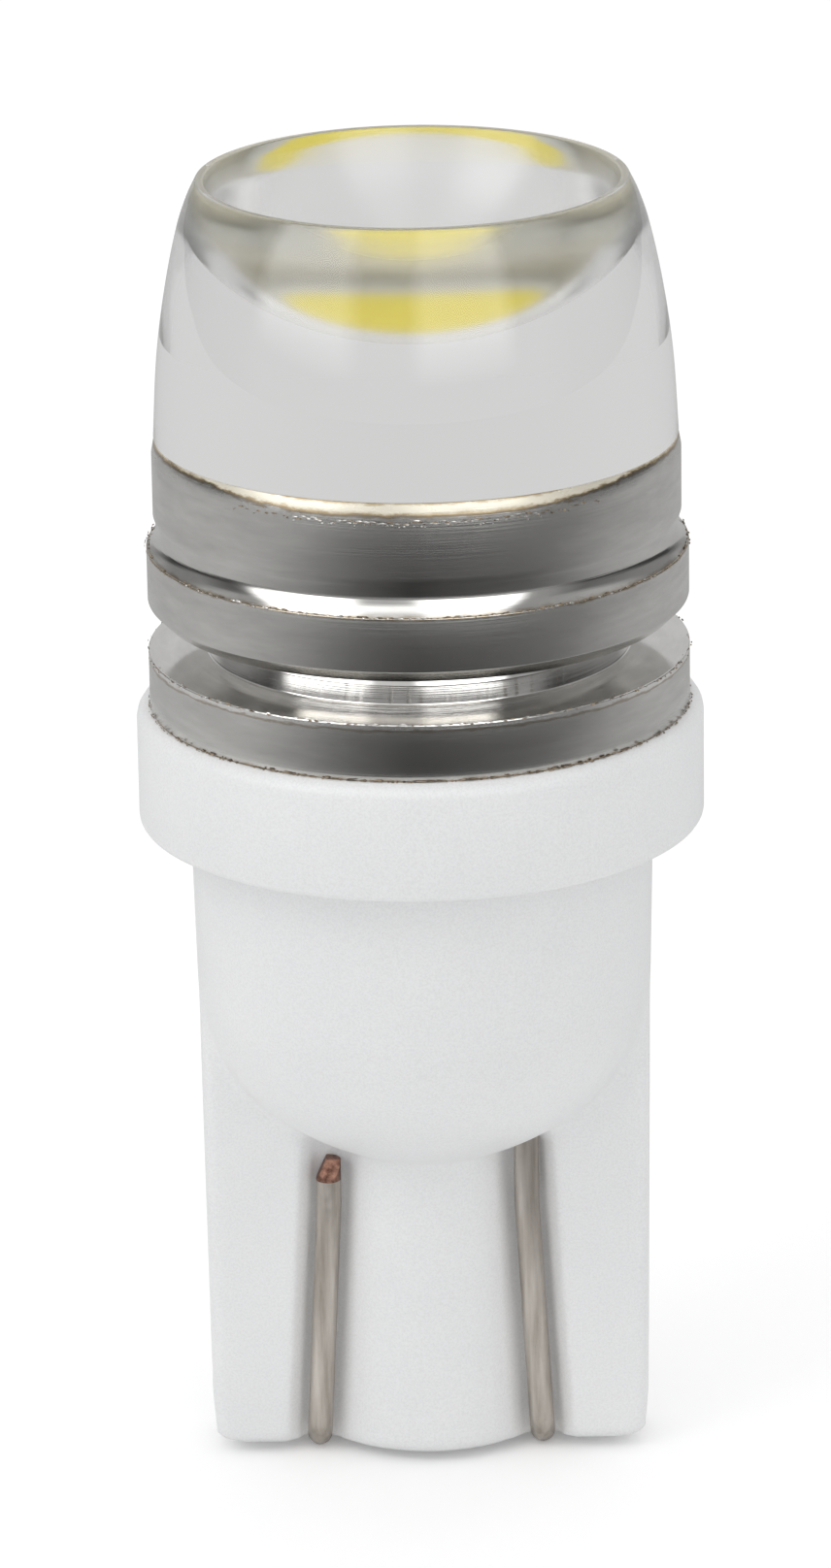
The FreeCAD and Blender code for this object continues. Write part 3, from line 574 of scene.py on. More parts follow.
def sink_profile():
    """Outline of the heat sink, up the outside and down the pocket."""
    cove = arc_points((UPPER_FIN - 0.02, FIN_TOP), (SLEEVE, COVE_TOP), COVE_ROUND, -1, 10)
    lower = rounded_profile((
        (SPIGOT_BORE, SPIGOT_BOTTOM), (SPIGOT, SPIGOT_BOTTOM, 0.05), (SPIGOT, COLLAR_TOP),
        (LOWER_FIN - 0.02, COLLAR_TOP), (LOWER_FIN, COLLAR_TOP + 0.04), (LOWER_FIN, GROOVE_FLOOR, 0.035),
        (CORE, GROOVE_FLOOR, 0.05), (CORE, RIDGE_FOOT), (CORE + RIDGE, RIDGE_FOOT + 0.01),
        (CORE + RIDGE, RIDGE_FOOT + 0.03), (CORE, RIDGE_FOOT + 0.04), (CORE_WAIST, FIN_BOTTOM, 0.03),
        (UPPER_FIN - CHAMFER, FIN_BOTTOM, 0.04), (UPPER_FIN, FIN_BOTTOM + CHAMFER, 0.04),
        (UPPER_FIN, FIN_TOP, 0.03), (UPPER_FIN - 0.2, FIN_TOP)))[:-1]
    upper = rounded_profile((
        (SLEEVE, COVE_TOP + 0.1), (SLEEVE, SLEEVE_TOP - BEAD_TALL), (SLEEVE - BEAD_LEAN, SLEEVE_TOP, 0.03),
        (POCKET, SLEEVE_TOP, 0.03), (POCKET, POCKET_FLOOR), (0, POCKET_FLOOR), (0, SPIGOT_CEILING),
        (SPIGOT_BORE, SPIGOT_CEILING)))
    return lower + cove[1:] + upper


sink = even_shading(turned("heat_sink_turning", sink_profile(), ROUND_SEGMENTS))

# %% [markdown]
# ## Turning marks
# A tool point leaves thousands of fine rings. They follow the angle round the axis, so the pattern
# is noise on the radius and height, drawn out along the angle. The group gives a height for the
# bump and a shade for the colour.

# %% Turning marks group


def shader_group(name, inputs, outputs):
    """Empty shader node group, from pairs of an input's name and default, and the names of its outputs."""
    group = bpy.data.node_groups.new(name, "ShaderNodeTree")
    for label, default in inputs:
        socket = group.interface.new_socket(label, in_out="INPUT", socket_type="NodeSocketFloat")
        socket.default_value = default
    for label in outputs:
        group.interface.new_socket(label, in_out="OUTPUT", socket_type="NodeSocketFloat")
    start = group.nodes.new("NodeGroupInput")
    end = group.nodes.new("NodeGroupOutput")
    return group, start.outputs, end.inputs


def polar(tree):
    """Radius, angle and height of the point, from Object coordinates."""
    x, y, z = object_xyz(tree)
    squared = math_node(tree, "ADD", math_node(tree, "MULTIPLY", x, x), math_node(tree, "MULTIPLY", y, y))
    return math_node(tree, "SQRT", squared), math_node(tree, "ARCTAN2", y, x), z


def noise(tree, vector, detail=2.0, roughness=0.5, scale=1.0):
    """Noise texture over a vector."""
    node = tree.nodes.new("ShaderNodeTexNoise")
    node.inputs["Scale"].default_value = scale
    node.inputs["Detail"].default_value = detail
    node.inputs["Roughness"].default_value = roughness
    link(tree, vector, node.inputs["Vector"])
    return node.outputs["Fac"]


def vector_of(tree, x, y, z):
    """Vector from three numbers or sockets."""
    node = tree.nodes.new("ShaderNodeCombineXYZ")
    for place, item in enumerate((x, y, z)):
        if isinstance(item, (int, float)):
            node.inputs[place].default_value = item
        else:
            link(tree, item, node.inputs[place])
    return node.outputs[0]


def ring_noise(tree, angle, along, streaks, lines, detail, roughness):
    """Noise drawn out round the axis: streaks is its scale round it, lines its scale along it."""
    x, y = (math_node(tree, "MULTIPLY", math_node(tree, wave, angle), streaks) for wave in ("COSINE", "SINE"))
    return noise(tree, vector_of(tree, x, y, math_node(tree, "MULTIPLY", along, lines)), detail, roughness)


settings = (("Rings per metre", 25000.0), ("Streaks round", 3.0), ("Broad bands per metre", 2500.0))
marks, given, result = shader_group("turning_marks", settings, ("Height", "Shade"))
radius, angle, height = polar(marks)
depth = math_node(marks, "ADD", radius, height)
link(marks, ring_noise(marks, angle, depth, 1.0, given["Rings per metre"], 3.0, 0.6), result["Height"])
link(marks, ring_noise(marks, angle, depth, given["Streaks round"], given["Broad bands per metre"], 4.0, 0.6),
     result["Shade"])
print("turning marks group has", len(marks.nodes), "nodes")

# %% [markdown]
# ## Metal finish
# One material covers the heat sink outside, so its finish goes by height: satin faces, a polished
# groove and cove, a tan line along each edge, and a cream bead of glue round the sleeve's end, broad
# in front and narrow elsewhere. Noise makes the borders of these zones ragged. The pocket under the
# lens and the sleeve's rim get a pale matt colour of their own, which is painted light: it stands
# for the light that reaches them through the lens.

# %% Finish by height


def bump(tree, height, strength, distance):
    """Normal of a bump, whose distance is in metres."""
    node = tree.nodes.new("ShaderNodeBump")
    node.inputs["Strength"].default_value = strength
    node.inputs["Distance"].default_value = distance
    link(tree, height, node.inputs["Height"])
    return node.outputs["Normal"]


ZONE_LOW = COLLAR_TOP - 0.1
ZONE_SPAN = SLEEVE_TOP + 0.1 - ZONE_LOW


def by_height(stops):
    """Ramp stops from pairs of a height in millimetres and a value."""
    return [((level - ZONE_LOW) / ZONE_SPAN, value) for level, value in stops]


def zone_share(tree, height):
    """Place on those ramps of a height in metres."""
    return math_node(tree, "MULTIPLY_ADD", height, 1 / MM / ZONE_SPAN, -ZONE_LOW / ZONE_SPAN)


BRIGHT = (0.66, 0.652, 0.63)
POLISHED = (0.84, 0.83, 0.81)
TAN = (0.36, 0.30, 0.22)
CREAM = (0.88, 0.83, 0.70)
GOLD = (0.50, 0.38, 0.22)
UMBER = (0.34, 0.30, 0.25)
SATIN_ROUGH, POLISHED_ROUGH, COVE_ROUGH = 0.27, 0.09, 0.13
COLOUR_ZONES = by_height((
    (COLLAR_TOP + 0.02, TAN), (COLLAR_TOP + 0.07, BRIGHT), (GROOVE_FLOOR - 0.17, BRIGHT),
    (GROOVE_FLOOR - 0.14, TAN), (GROOVE_FLOOR - 0.10, POLISHED), (FIN_BOTTOM - 0.10, POLISHED),
    (FIN_BOTTOM + 0.03, BRIGHT), (FIN_TOP - 0.06, BRIGHT), (FIN_TOP - 0.02, TAN), (FIN_TOP + 0.06, BRIGHT),
    (SLEEVE_TOP - 0.40, BRIGHT), (SLEEVE_TOP - 0.36, TAN), (SLEEVE_TOP - 0.30, BRIGHT)))
BEAD_ZONES = by_height((
    (SLEEVE_TOP - 0.34, BRIGHT), (SLEEVE_TOP - 0.28, UMBER), (SLEEVE_TOP - 0.24, GOLD),
    (SLEEVE_TOP - 0.18, CREAM), (SLEEVE_TOP - 0.06, CREAM), (SLEEVE_TOP - 0.01, GOLD)))
ROUGH_ZONES = by_height((
    (GROOVE_FLOOR - 0.04, SATIN_ROUGH), (GROOVE_FLOOR - 0.02, POLISHED_ROUGH),
    (FIN_BOTTOM + 0.02, POLISHED_ROUGH), (FIN_BOTTOM + 0.22, 0.16), (FIN_BOTTOM + 0.29, SATIN_ROUGH),
    (FIN_TOP - 0.01, SATIN_ROUGH), (FIN_TOP + 0.01, COVE_ROUGH), (COVE_TOP, COVE_ROUGH),
    (COVE_TOP + 0.04, SATIN_ROUGH), (SLEEVE_TOP - 0.38, SATIN_ROUGH), (SLEEVE_TOP - 0.3, 0.3)))
METAL_ZONES = by_height(((SLEEVE_TOP - 0.26, 1.0), (SLEEVE_TOP - 0.2, 0.25)))
BEAD_THIN = ((0.80, 1.0), (0.95, 0.0))
BEAD_DROP = 0.17
RAGGED_TALL = 0.16
RAGGED_ROUND = 0.12
print("aluminium has", len(COLOUR_ZONES), "colour levels")

# %% Turned aluminium


def mixed_colour(tree, blend, factor, first, second):
    """Mix node for two colours or sockets."""
    node = tree.nodes.new("ShaderNodeMix")
    node.data_type = "RGBA"
    node.blend_type = blend
    for socket, item in ((node.inputs["Factor"], factor), (node.inputs[6], first), (node.inputs[7], second)):
        if isinstance(item, (int, float)):
            socket.default_value = item
        elif isinstance(item, tuple):
            socket.default_value = (*item, 1)
        else:
            link(tree, item, socket)
    return node.outputs[2]


def wavered(tree, value, wave, amount):
    """Value moved by a noise wave, up to half an amount either way."""
    return math_node(tree, "MULTIPLY_ADD", wave, amount, math_node(tree, "SUBTRACT", value, amount / 2))


metal, tree, shader = new_material("turned_aluminium")
grooves = tree.nodes.new("ShaderNodeGroup")
grooves.node_tree = marks
pattern = grooves.outputs
radius, angle, height = polar(tree)
ragged = ring_noise(tree, angle, height, 14.0, 9000.0, 4.0, 0.7)
share = zone_share(tree, wavered(tree, height, ragged, RAGGED_TALL * MM))
shade = ramp(tree, pattern["Shade"], ((0.3, 0.82), (0.7, 1.0)))
front = math_node(tree, "MULTIPLY_ADD", math_node(tree, "SINE", angle), -0.5, 0.5)
thin = ramp(tree, wavered(tree, front, ragged, RAGGED_ROUND), BEAD_THIN)
bead = math_node(tree, "MULTIPLY_ADD", thin, -BEAD_DROP / ZONE_SPAN, share)
top_only = math_node(tree, "GREATER_THAN", height, (SLEEVE_TOP - BEAD_TALL - 0.06) * MM)
worn = mixed_colour(tree, "MIX", top_only, ramp(tree, share, COLOUR_ZONES), ramp(tree, bead, BEAD_ZONES))
link(tree, mixed_colour(tree, "MULTIPLY", 1.0, worn, shade), shader.inputs["Base Color"])
rough = ramp(tree, zone_share(tree, height), ROUGH_ZONES)
worn_less = ramp(tree, pattern["Shade"], ((0.3, 1.0), (0.7, 0.82)))
link(tree, math_node(tree, "MULTIPLY", rough, worn_less), shader.inputs["Roughness"])
link(tree, ramp(tree, bead, METAL_ZONES), shader.inputs["Metallic"])
link(tree, bump(tree, pattern["Height"], 0.45, 0.000005), shader.inputs["Normal"])
shader.inputs["Anisotropic"].default_value = 0.3
sink.data.materials.append(metal)
print("turned aluminium has", len(tree.nodes), "nodes")

# %% Pocket wall
# The pocket wall gets a pale matt colour that is painted light: it stands for the light that reaches it
# through the lens.
POCKET_DIM, POCKET_WARM = (0.62, 0.59, 0.48), (0.70, 0.67, 0.56)
lit, tree, shader = new_material("pocket_painted_light")
lines = noise(tree, vector_of(tree, 0.0, 0.0, math_node(tree, "MULTIPLY", polar(tree)[2], 9000.0)), 2.0, 0.5)
link(tree, ramp(tree, lines, ((0.3, POCKET_DIM), (0.7, POCKET_WARM))), shader.inputs["Base Color"])
shader.inputs["Roughness"].default_value = 0.5
sink.data.materials.append(lit)
# Faces of the pocket and of the sleeve's rim take the painted light.
for face in sink.data.polygons:
    x, y, z = face.center / MM
    inside = math.hypot(x, y) < POCKET + 0.03 and z > POCKET_FLOOR - 0.1
    if inside or z > SLEEVE_TOP - 0.005:
        face.material_index = 1
placed(sink, "turned_aluminium", "heat_sink")

# %% [markdown]
# ## The moulded base
# A dome runs softly into a flat blade with two wings, a rib between them, and a groove for each
# wire. In mesh code the dome and the blade are made as crossing solids, a voxel remesh joins them
# into one skin, and smoothing near the join gives the soft fillet of a moulding. The collar above
# is turned by itself, so its edges stay crisp.

# %% Dome and blade as crossing solids
DOME_BOTTOM = 6.53
DOME_CENTRE = 10.53
NECK_TOP = 4.76
NECK_BOTTOM = 4.69
COLLAR = 5.8
WING = 1.05
WEB = 0.6
RIB = 1.68
WIRE = 0.26
FOOT_HALF = 4.57
FOOT_ROUND = 0.42
NECK_HIDDEN = 0.4
SHOULDER = 3.6
GROOVE_LOW, GROOVE_DRIFT = 2.37, 0.31
GROOVE_GAP = 0.05
CROWN_STEPS = 12


def dome_profile():
    """Outline of the dome and neck, up to a place hidden in the collar."""
    shoulder, depth = SHOULDER, DOME_CENTRE - DOME_BOTTOM
    waist = NECK_BOTTOM - shoulder
    nose = (depth ** 2 - shoulder ** 2 + waist ** 2) / (2 * (depth - shoulder))
    span = nose - shoulder
    meet = (nose * waist / span, DOME_BOTTOM + nose + nose * (depth - nose) / span)
    lower = arc_points((0, DOME_BOTTOM), meet, nose, 1, 24)
    upper = arc_points(meet, (NECK_BOTTOM, DOME_CENTRE), shoulder, 1, 24)
    hidden = SEAT + NECK_HIDDEN
    return lower + upper[1:] + [Vector((NECK_TOP, SEAT)), Vector((NECK_TOP, hidden)), Vector((0, hidden))]


dome = turned("dome_core", dome_profile(), 192, closed=False)


def groove_middle(height):
    """Distance of a wire's middle from the axis at a height up the blade."""
    climb = (height - BLADE_BOTTOM) / (DOME_BOTTOM - 0.9 - BLADE_BOTTOM)
    return GROOVE_LOW - GROOVE_DRIFT * climb


def blade_ring(height, half, shrink):
    """Outline of the blade at a height, drawn in by shrink at the bottom edge."""
    wing, web, rib = WING - shrink, WEB, RIB - shrink
    middle = groove_middle(height)
    inner, outer = middle - WIRE - GROOVE_GAP, middle + WIRE + GROOVE_GAP
    end = half - shrink
    quarter = [(outer, web), (outer + 0.10, web + 0.2), (outer + 0.36, wing), (end - 0.25, wing),
               (end - 0.07, wing - 0.08), (end, wing - 0.28)]
    crown = (inner ** 2 + (rib - web) ** 2) / (2 * (rib - web))
    across = [inner * (1 - 2 * n / CROWN_STEPS) for n in range(CROWN_STEPS + 1)]
    arc = [(x, rib - crown + math.sqrt(crown ** 2 - x ** 2)) for x in across]
    back = list(reversed(quarter)) + arc + [(-x, y) for x, y in quarter]
    return [(x, y, height) for x, y in back] + [(-x, -y, height) for x, y in back]


def blade_solid():
    """Closed solid of the blade from its rounded foot up into the dome."""
    mesh = bmesh.new()
    levels = [(BLADE_BOTTOM, 0.2), (BLADE_BOTTOM + 0.03, 0.12), (BLADE_BOTTOM + 0.09, 0.05),
              (BLADE_BOTTOM + 0.2, 0.0)]
    levels += [(BLADE_BOTTOM + 0.2 + (DOME_CENTRE - BLADE_BOTTOM - 0.2) * n / 12, 0.0) for n in range(1, 13)]
    rings = []
    for height, shrink in levels:
        part = (height - BLADE_BOTTOM) / (DOME_CENTRE - BLADE_BOTTOM)
        half = FOOT_HALF + (NECK_BOTTOM - 0.03 - FOOT_HALF) * part
        corner = max(0.0, FOOT_ROUND - (height - BLADE_BOTTOM))
        if corner:
            half -= FOOT_ROUND - math.sqrt(max(0.0, FOOT_ROUND ** 2 - corner ** 2))
        rings.append([mesh.verts.new(Vector(p) * MM) for p in blade_ring(height, half, shrink)])
    for low, high in zip(rings, rings[1:]):
        for n in range(len(low)):
            after = (n + 1) % len(low)
            mesh.faces.new((low[n], low[after], high[after], high[n]))
    mesh.faces.new(rings[0])
    mesh.faces.new(rings[-1])
    bmesh.ops.triangulate(mesh, faces=[f for f in mesh.faces if len(f.verts) > 4])
    bmesh.ops.recalc_face_normals(mesh, faces=mesh.faces)
    return smoothed(from_bmesh("blade_core", mesh))


blade = blade_solid()
print("dome", len(dome.data.polygons), "blade", len(blade.data.polygons))

# %% Join them into one skin
VOXEL = 0.085
SOFTENING = 10
FILLET_REACH = 0.55
DOME_MEAN = 4.3


def joined(name, *pieces):
    """One object from the meshes of several, which are removed."""
    mesh = bmesh.new()
    for piece in pieces:
        mesh.from_mesh(piece.data)
        bpy.data.objects.remove(piece)
    return from_bmesh(name, mesh)


skin = joined("moulded_skin", dome, blade)
remesh = skin.modifiers.new("voxels", "REMESH")
remesh.mode = "VOXEL"
remesh.voxel_size = VOXEL * MM
applied(skin)
print("skin", len(skin.data.polygons), "faces")

# %% Soften the join


def dome_distance(point):
    """How far a point lies outside the dome's skin, in millimetres, measured from the dome's centre."""
    x, y, z = point / MM
    flat = math.hypot(x, y)
    if z > DOME_CENTRE:
        return flat - NECK_BOTTOM
    down = (DOME_CENTRE - z) / (DOME_CENTRE - DOME_BOTTOM)
    return math.hypot(flat / NECK_BOTTOM, down) * DOME_MEAN - DOME_MEAN


near = skin.vertex_groups.new(name="join")
for vertex in skin.data.vertices:
    away = abs(dome_distance(vertex.co))
    weight = max(0.0, 1 - away / FILLET_REACH)
    if vertex.co.z / MM < SEAT - 0.5:
        near.add([vertex.index], weight, "REPLACE")
for label, group, amount, times in (("even", "", 0.5, 3), ("fillet", "join", 0.9, SOFTENING)):
    smooth = skin.modifiers.new(label, "SMOOTH")
    smooth.factor = amount
    smooth.iterations = times
    smooth.vertex_group = group
applied(skin)
skin.vertex_groups.clear()

# %% Collar, and the base as one piece


def collar_profile():
    """Outline of the collar with its recess for the heat sink's spigot."""
    return rounded_profile((
        (SPIGOT + 0.02, SPIGOT_BOTTOM - 0.1), (SPIGOT + 0.02, COLLAR_TOP), (COLLAR, COLLAR_TOP, 0.28),
        (COLLAR, SEAT, 0.14), (NECK_TOP - 0.3, SEAT)))


collar = turned("collar_core", collar_profile(), ROUND_SEGMENTS)
base = joined("moulded_base", skin, collar)
even_shading(smoothed(base, 40))

# %% White moulding
white, tree, shader = new_material("white_moulding")
place = object_place(tree)
grain = noise(tree, place, 4.0, 0.6, 9000.0)
cloud = noise(tree, place, 3.0, 0.5, 350.0)
speck = noise(tree, place, 2.0, 0.6, 22000.0)
tone = ramp(tree, cloud, ((0.3, (0.835, 0.842, 0.847)), (0.7, (0.865, 0.87, 0.873))))
link(tree, mixed_colour(tree, "MULTIPLY", 1.0, tone, ramp(tree, speck, ((0.35, 0.93), (0.6, 1.0)))),
     shader.inputs["Base Color"])
link(tree, ramp(tree, grain, ((0.3, 0.42), (0.7, 0.52))), shader.inputs["Roughness"])
link(tree, bump(tree, grain, 0.25, 0.00001), shader.inputs["Normal"])
shader.inputs["Subsurface Weight"].default_value = 0.15
shader.inputs["Subsurface Radius"].default_value = (0.0012, 0.0011, 0.001)
base.data.materials.append(white)
placed(base, "white_moulding", "wedge_base")

# %% [markdown]
# ## Contact wires
# Each wire is tinned copper: it leaves the dome on one face, runs down its groove, turns under the
# blade and is snipped off on the other face. A Geometry Nodes tree fillets the route's corners and
# sweeps a round along it.

# %% Wire tree
WIRE_TOP = heights("contact_wire_right")[1]
WIRE_CUT = 6.62
WIRE_KINK = 5.63
FACE = 0.90
TIP = 0.45
SNIP = WIRE - 0.22
BEND = 0.55
UPPER_X = 2.06
LOWER_X = 2.35


def geometry_tree(name, inputs):
    """Empty Geometry Nodes tree, its input and output nodes, and the identifier of each named input."""
    made = bpy.data.node_groups.new(name, "GeometryNodeTree")
    for way in ("INPUT", "OUTPUT"):
        made.interface.new_socket("Geometry", in_out=way, socket_type="NodeSocketGeometry")
    names = {}
    for label, kind in inputs:
        socket = made.interface.new_socket(label, in_out="INPUT", socket_type="NodeSocket" + kind)
        names[label] = socket.identifier
    return made, made.nodes.new("NodeGroupInput"), made.nodes.new("NodeGroupOutput"), names


def join_nodes(tree, joins):
    """Link outputs to inputs, from rows of a node, its output, the next node and its input."""
    for first, output, then, entry in joins:
        link(tree, first.outputs[output], then.inputs[entry])


sweep, enter, leave, sweep_inputs = geometry_tree("swept_wire", (("Radius", "Float"), ("Bend", "Float"),
                                                                 ("Material", "Material")))
to_curve = sweep.nodes.new("GeometryNodeMeshToCurve")
fillet = sweep.nodes.new("GeometryNodeFilletCurve")
fillet.mode = "POLY"
fillet.inputs["Count"].default_value = 14
fillet.inputs["Limit Radius"].default_value = True
ring = sweep.nodes.new("GeometryNodeCurvePrimitiveCircle")
ring.inputs["Resolution"].default_value = 28
tube = sweep.nodes.new("GeometryNodeCurveToMesh")
tube.inputs["Fill Caps"].default_value = True
real = sweep.nodes.new("GeometryNodeRealizeInstances")
dress = sweep.nodes.new("GeometryNodeSetMaterial")
join_nodes(sweep, (
    (enter, "Geometry", to_curve, "Mesh"), (to_curve, "Curve", fillet, "Curve"),
    (enter, "Bend", fillet, "Radius"), (enter, "Radius", ring, "Radius"),
    (fillet, "Curve", tube, "Curve"), (ring, "Curve", tube, "Profile Curve"),
    (tube, "Mesh", real, "Geometry"), (real, "Geometry", dress, "Geometry"),
    (enter, "Material", dress, "Material"), (dress, "Geometry", leave, "Geometry")))
print("wire tree has", len(sweep.nodes), "nodes")

# %% Wire finish
tin, tree, shader = new_material("dull_tin")
drawn = tree.nodes.new("ShaderNodeMapping")
drawn.inputs["Scale"].default_value = (5200, 5200, 420)
link(tree, object_place(tree), drawn.inputs["Vector"])
mottle = noise(tree, drawn.outputs["Vector"], 4.0, 0.6)
scuff = noise(tree, object_place(tree), 3.0, 0.6, 9000.0)
shader.inputs["Metallic"].default_value = 0.9
tones = ((0.3, (0.36, 0.325, 0.285)), (0.5, (0.49, 0.45, 0.405)), (0.7, (0.60, 0.56, 0.515)))
link(tree, ramp(tree, mottle, tones), shader.inputs["Base Color"])
link(tree, ramp(tree, scuff, ((0.3, 0.32), (0.7, 0.5))), shader.inputs["Roughness"])
link(tree, bump(tree, mottle, 0.3, 0.00001), shader.inputs["Normal"])
bare, tree, shader = new_material("snipped_copper")
tear = noise(tree, object_place(tree), 4.0, 0.7, 6000.0)
shader.inputs["Metallic"].default_value = 0.85
tones = ((0.35, (0.09, 0.04, 0.028)), (0.65, (0.30, 0.165, 0.12)))
link(tree, ramp(tree, tear, tones), shader.inputs["Base Color"])
shader.inputs["Roughness"].default_value = 0.42
link(tree, bump(tree, tear, 0.6, 0.00004), shader.inputs["Normal"])

# %% Sweep and snip


def contact_wire(name, turn, node):
    """Wire along its route, cut off to a chisel at the short end and turned about the axis."""
    route = [(UPPER_X, -FACE, WIRE_TOP), (UPPER_X, -FACE, WIRE_KINK), (LOWER_X, -FACE, WIRE),
             (LOWER_X, FACE, WIRE), (UPPER_X, FACE, WIRE_KINK), (UPPER_X, FACE, WIRE_CUT - TIP),
             (UPPER_X, FACE, WIRE_CUT)]
    made = polyline(name, [Vector(p) * MM for p in route])
    modifier = made.modifiers.new("sweep", "NODES")
    modifier.node_group = sweep
    modifier[sweep_inputs["Radius"]] = WIRE * MM
    modifier[sweep_inputs["Bend"]] = BEND * MM
    modifier[sweep_inputs["Material"]] = tin
    applied(made)
    cut = bmesh.new()
    cut.from_mesh(made.data)
    bmesh.ops.remove_doubles(cut, verts=cut.verts, dist=1e-7)
    for point, normal in (((UPPER_X + SNIP, FACE, WIRE_CUT), (0.5, 0, 0.26)),
                          ((UPPER_X, FACE + SNIP, WIRE_CUT), (0, 0.5, 0.26))):
        parts = cut.verts[:] + cut.edges[:] + cut.faces[:]
        upper = [p for p in parts if all(v.co.y > 0 and v.co.z > (WIRE_CUT - TIP - 0.01) * MM
                                         for v in (p.verts if hasattr(p, "verts") else [p]))]
        sliced = bmesh.ops.bisect_plane(cut, geom=upper, plane_co=Vector(point) * MM, plane_no=Vector(normal),
                                        clear_outer=True)
        edges = [e for e in sliced["geom_cut"] if isinstance(e, bmesh.types.BMEdge)]
        for face in bmesh.ops.contextual_create(cut, geom=edges)["faces"]:
            face.material_index = 1
    for face in cut.faces:
        middle = face.calc_center_median()
        if middle.z > (WIRE_CUT - TIP) * MM and middle.y > 0:
            face.material_index = 1
    print(name, "has", sum(not edge.is_manifold for edge in cut.edges), "open edges")
    bmesh.ops.recalc_face_normals(cut, faces=cut.faces)
    bmesh.ops.rotate(cut, verts=cut.verts, matrix=Matrix.Rotation(turn, 3, "Z"), cent=(0, 0, 0))
    bpy.data.objects.remove(made)
    made = smoothed(from_bmesh(name, cut), 35)
    made.data.materials.append(tin)
    made.data.materials.append(bare)
    return placed(made, "tinned_wire", node)


contact_wire("bent_wire_right", 0, "contact_wire_right")
contact_wire("bent_wire_left", math.pi, "contact_wire_left")

# %% [markdown]
# ## Burrs and dirt on the edges
# A turned edge keeps small torn flakes of metal, and dirt gathers beside them. They repeat hundreds
# of times at random, so one Geometry Nodes tree scatters a faceted speck along an edge, with a
# fixed seed.

# %% Scatter tree
scatter, enter, leave, scatter_inputs = geometry_tree("edge_specks", (
    ("Count", "Int"), ("Jitter", "Vector"), ("Smallest", "Vector"), ("Largest", "Vector"), ("Seed", "Int"),
    ("Material", "Material")))
to_curve = scatter.nodes.new("GeometryNodeMeshToCurve")
to_points = scatter.nodes.new("GeometryNodeCurveToPoints")
speck = scatter.nodes.new("GeometryNodeMeshIcoSphere")
speck.inputs["Radius"].default_value = 1.0
speck.inputs["Subdivisions"].default_value = 1
shift = scatter.nodes.new("GeometryNodeSetPosition")
copies = scatter.nodes.new("GeometryNodeInstanceOnPoints")
real = scatter.nodes.new("GeometryNodeRealizeInstances")
dress = scatter.nodes.new("GeometryNodeSetMaterial")
away, size = scatter.nodes.new("FunctionNodeRandomValue"), scatter.nodes.new("FunctionNodeRandomValue")
minus = scatter.nodes.new("ShaderNodeVectorMath")
minus.operation = "SCALE"
minus.inputs["Scale"].default_value = -1.0
for chance in (away, size):
    chance.data_type = "FLOAT_VECTOR"
    link(scatter, enter.outputs["Seed"], chance.inputs["Seed"])
join_nodes(scatter, (
    (enter, "Geometry", to_curve, "Mesh"), (to_curve, "Curve", to_points, "Curve"),
    (enter, "Count", to_points, "Count"), (to_points, "Points", shift, "Geometry"),
    (enter, "Jitter", minus, 0), (minus, 0, away, "Min"), (enter, "Jitter", away, "Max"),
    (away, "Value", shift, "Offset"), (shift, "Geometry", copies, "Points"),
    (speck, "Mesh", copies, "Instance"), (to_points, "Rotation", copies, "Rotation"),
    (enter, "Smallest", size, "Min"), (enter, "Largest", size, "Max"), (size, "Value", copies, "Scale"),
    (copies, "Instances", real, "Geometry"), (real, "Geometry", dress, "Geometry"),
    (enter, "Material", dress, "Material"), (dress, "Geometry", leave, "Geometry")))
print("scatter tree has", len(scatter.nodes), "nodes")

# %% Scatter the specks
LINE_STEPS = 96
SPECK_SLIDE, SPECK_SINK = 0.05, 0.004
SPECK_SMALLEST = (0.006, 0.006, 0.008)
SPECK_LARGEST = (0.020, 0.026, 0.085)


def speck_finish(name, dark, light, metallic, roughness):
    """Finish in two colours for the specks."""
    made, tree, shader = new_material(name)
    cloud = noise(tree, object_place(tree), 3.0, 0.6, 8000.0)
    link(tree, ramp(tree, cloud, ((0.4, dark), (0.6, light))), shader.inputs["Base Color"])
    shader.inputs["Metallic"].default_value = metallic
    shader.inputs["Roughness"].default_value = roughness
    return made


burr = speck_finish("torn_metal", (0.45, 0.43, 0.40), (0.85, 0.84, 0.82), 0.9, 0.3)
dirt = speck_finish("edge_dirt", (0.09, 0.065, 0.04), (0.34, 0.26, 0.17), 0.0, 0.6)


def specks(name, radius, height, half_turn, count, seed, finish, rise=0.02):
    """Specks along an edge, half_turn degrees to each side of the front."""
    turns = [math.radians(-90 - half_turn + 2 * half_turn * n / LINE_STEPS) for n in range(LINE_STEPS + 1)]
    made = polyline(name, [Vector((radius * math.cos(a), radius * math.sin(a), height)) * MM for a in turns])
    modifier = made.modifiers.new("specks", "NODES")
    modifier.node_group = scatter
    for label, value in (("Count", count), ("Jitter", (SPECK_SLIDE * MM, SPECK_SINK * MM, rise * MM)),
                         ("Smallest", tuple(side * MM for side in SPECK_SMALLEST)),
                         ("Largest", tuple(side * MM for side in SPECK_LARGEST)),
                         ("Seed", seed), ("Material", finish)):
        modifier[scatter_inputs[label]] = value
    placed(applied(made), "turned_aluminium")


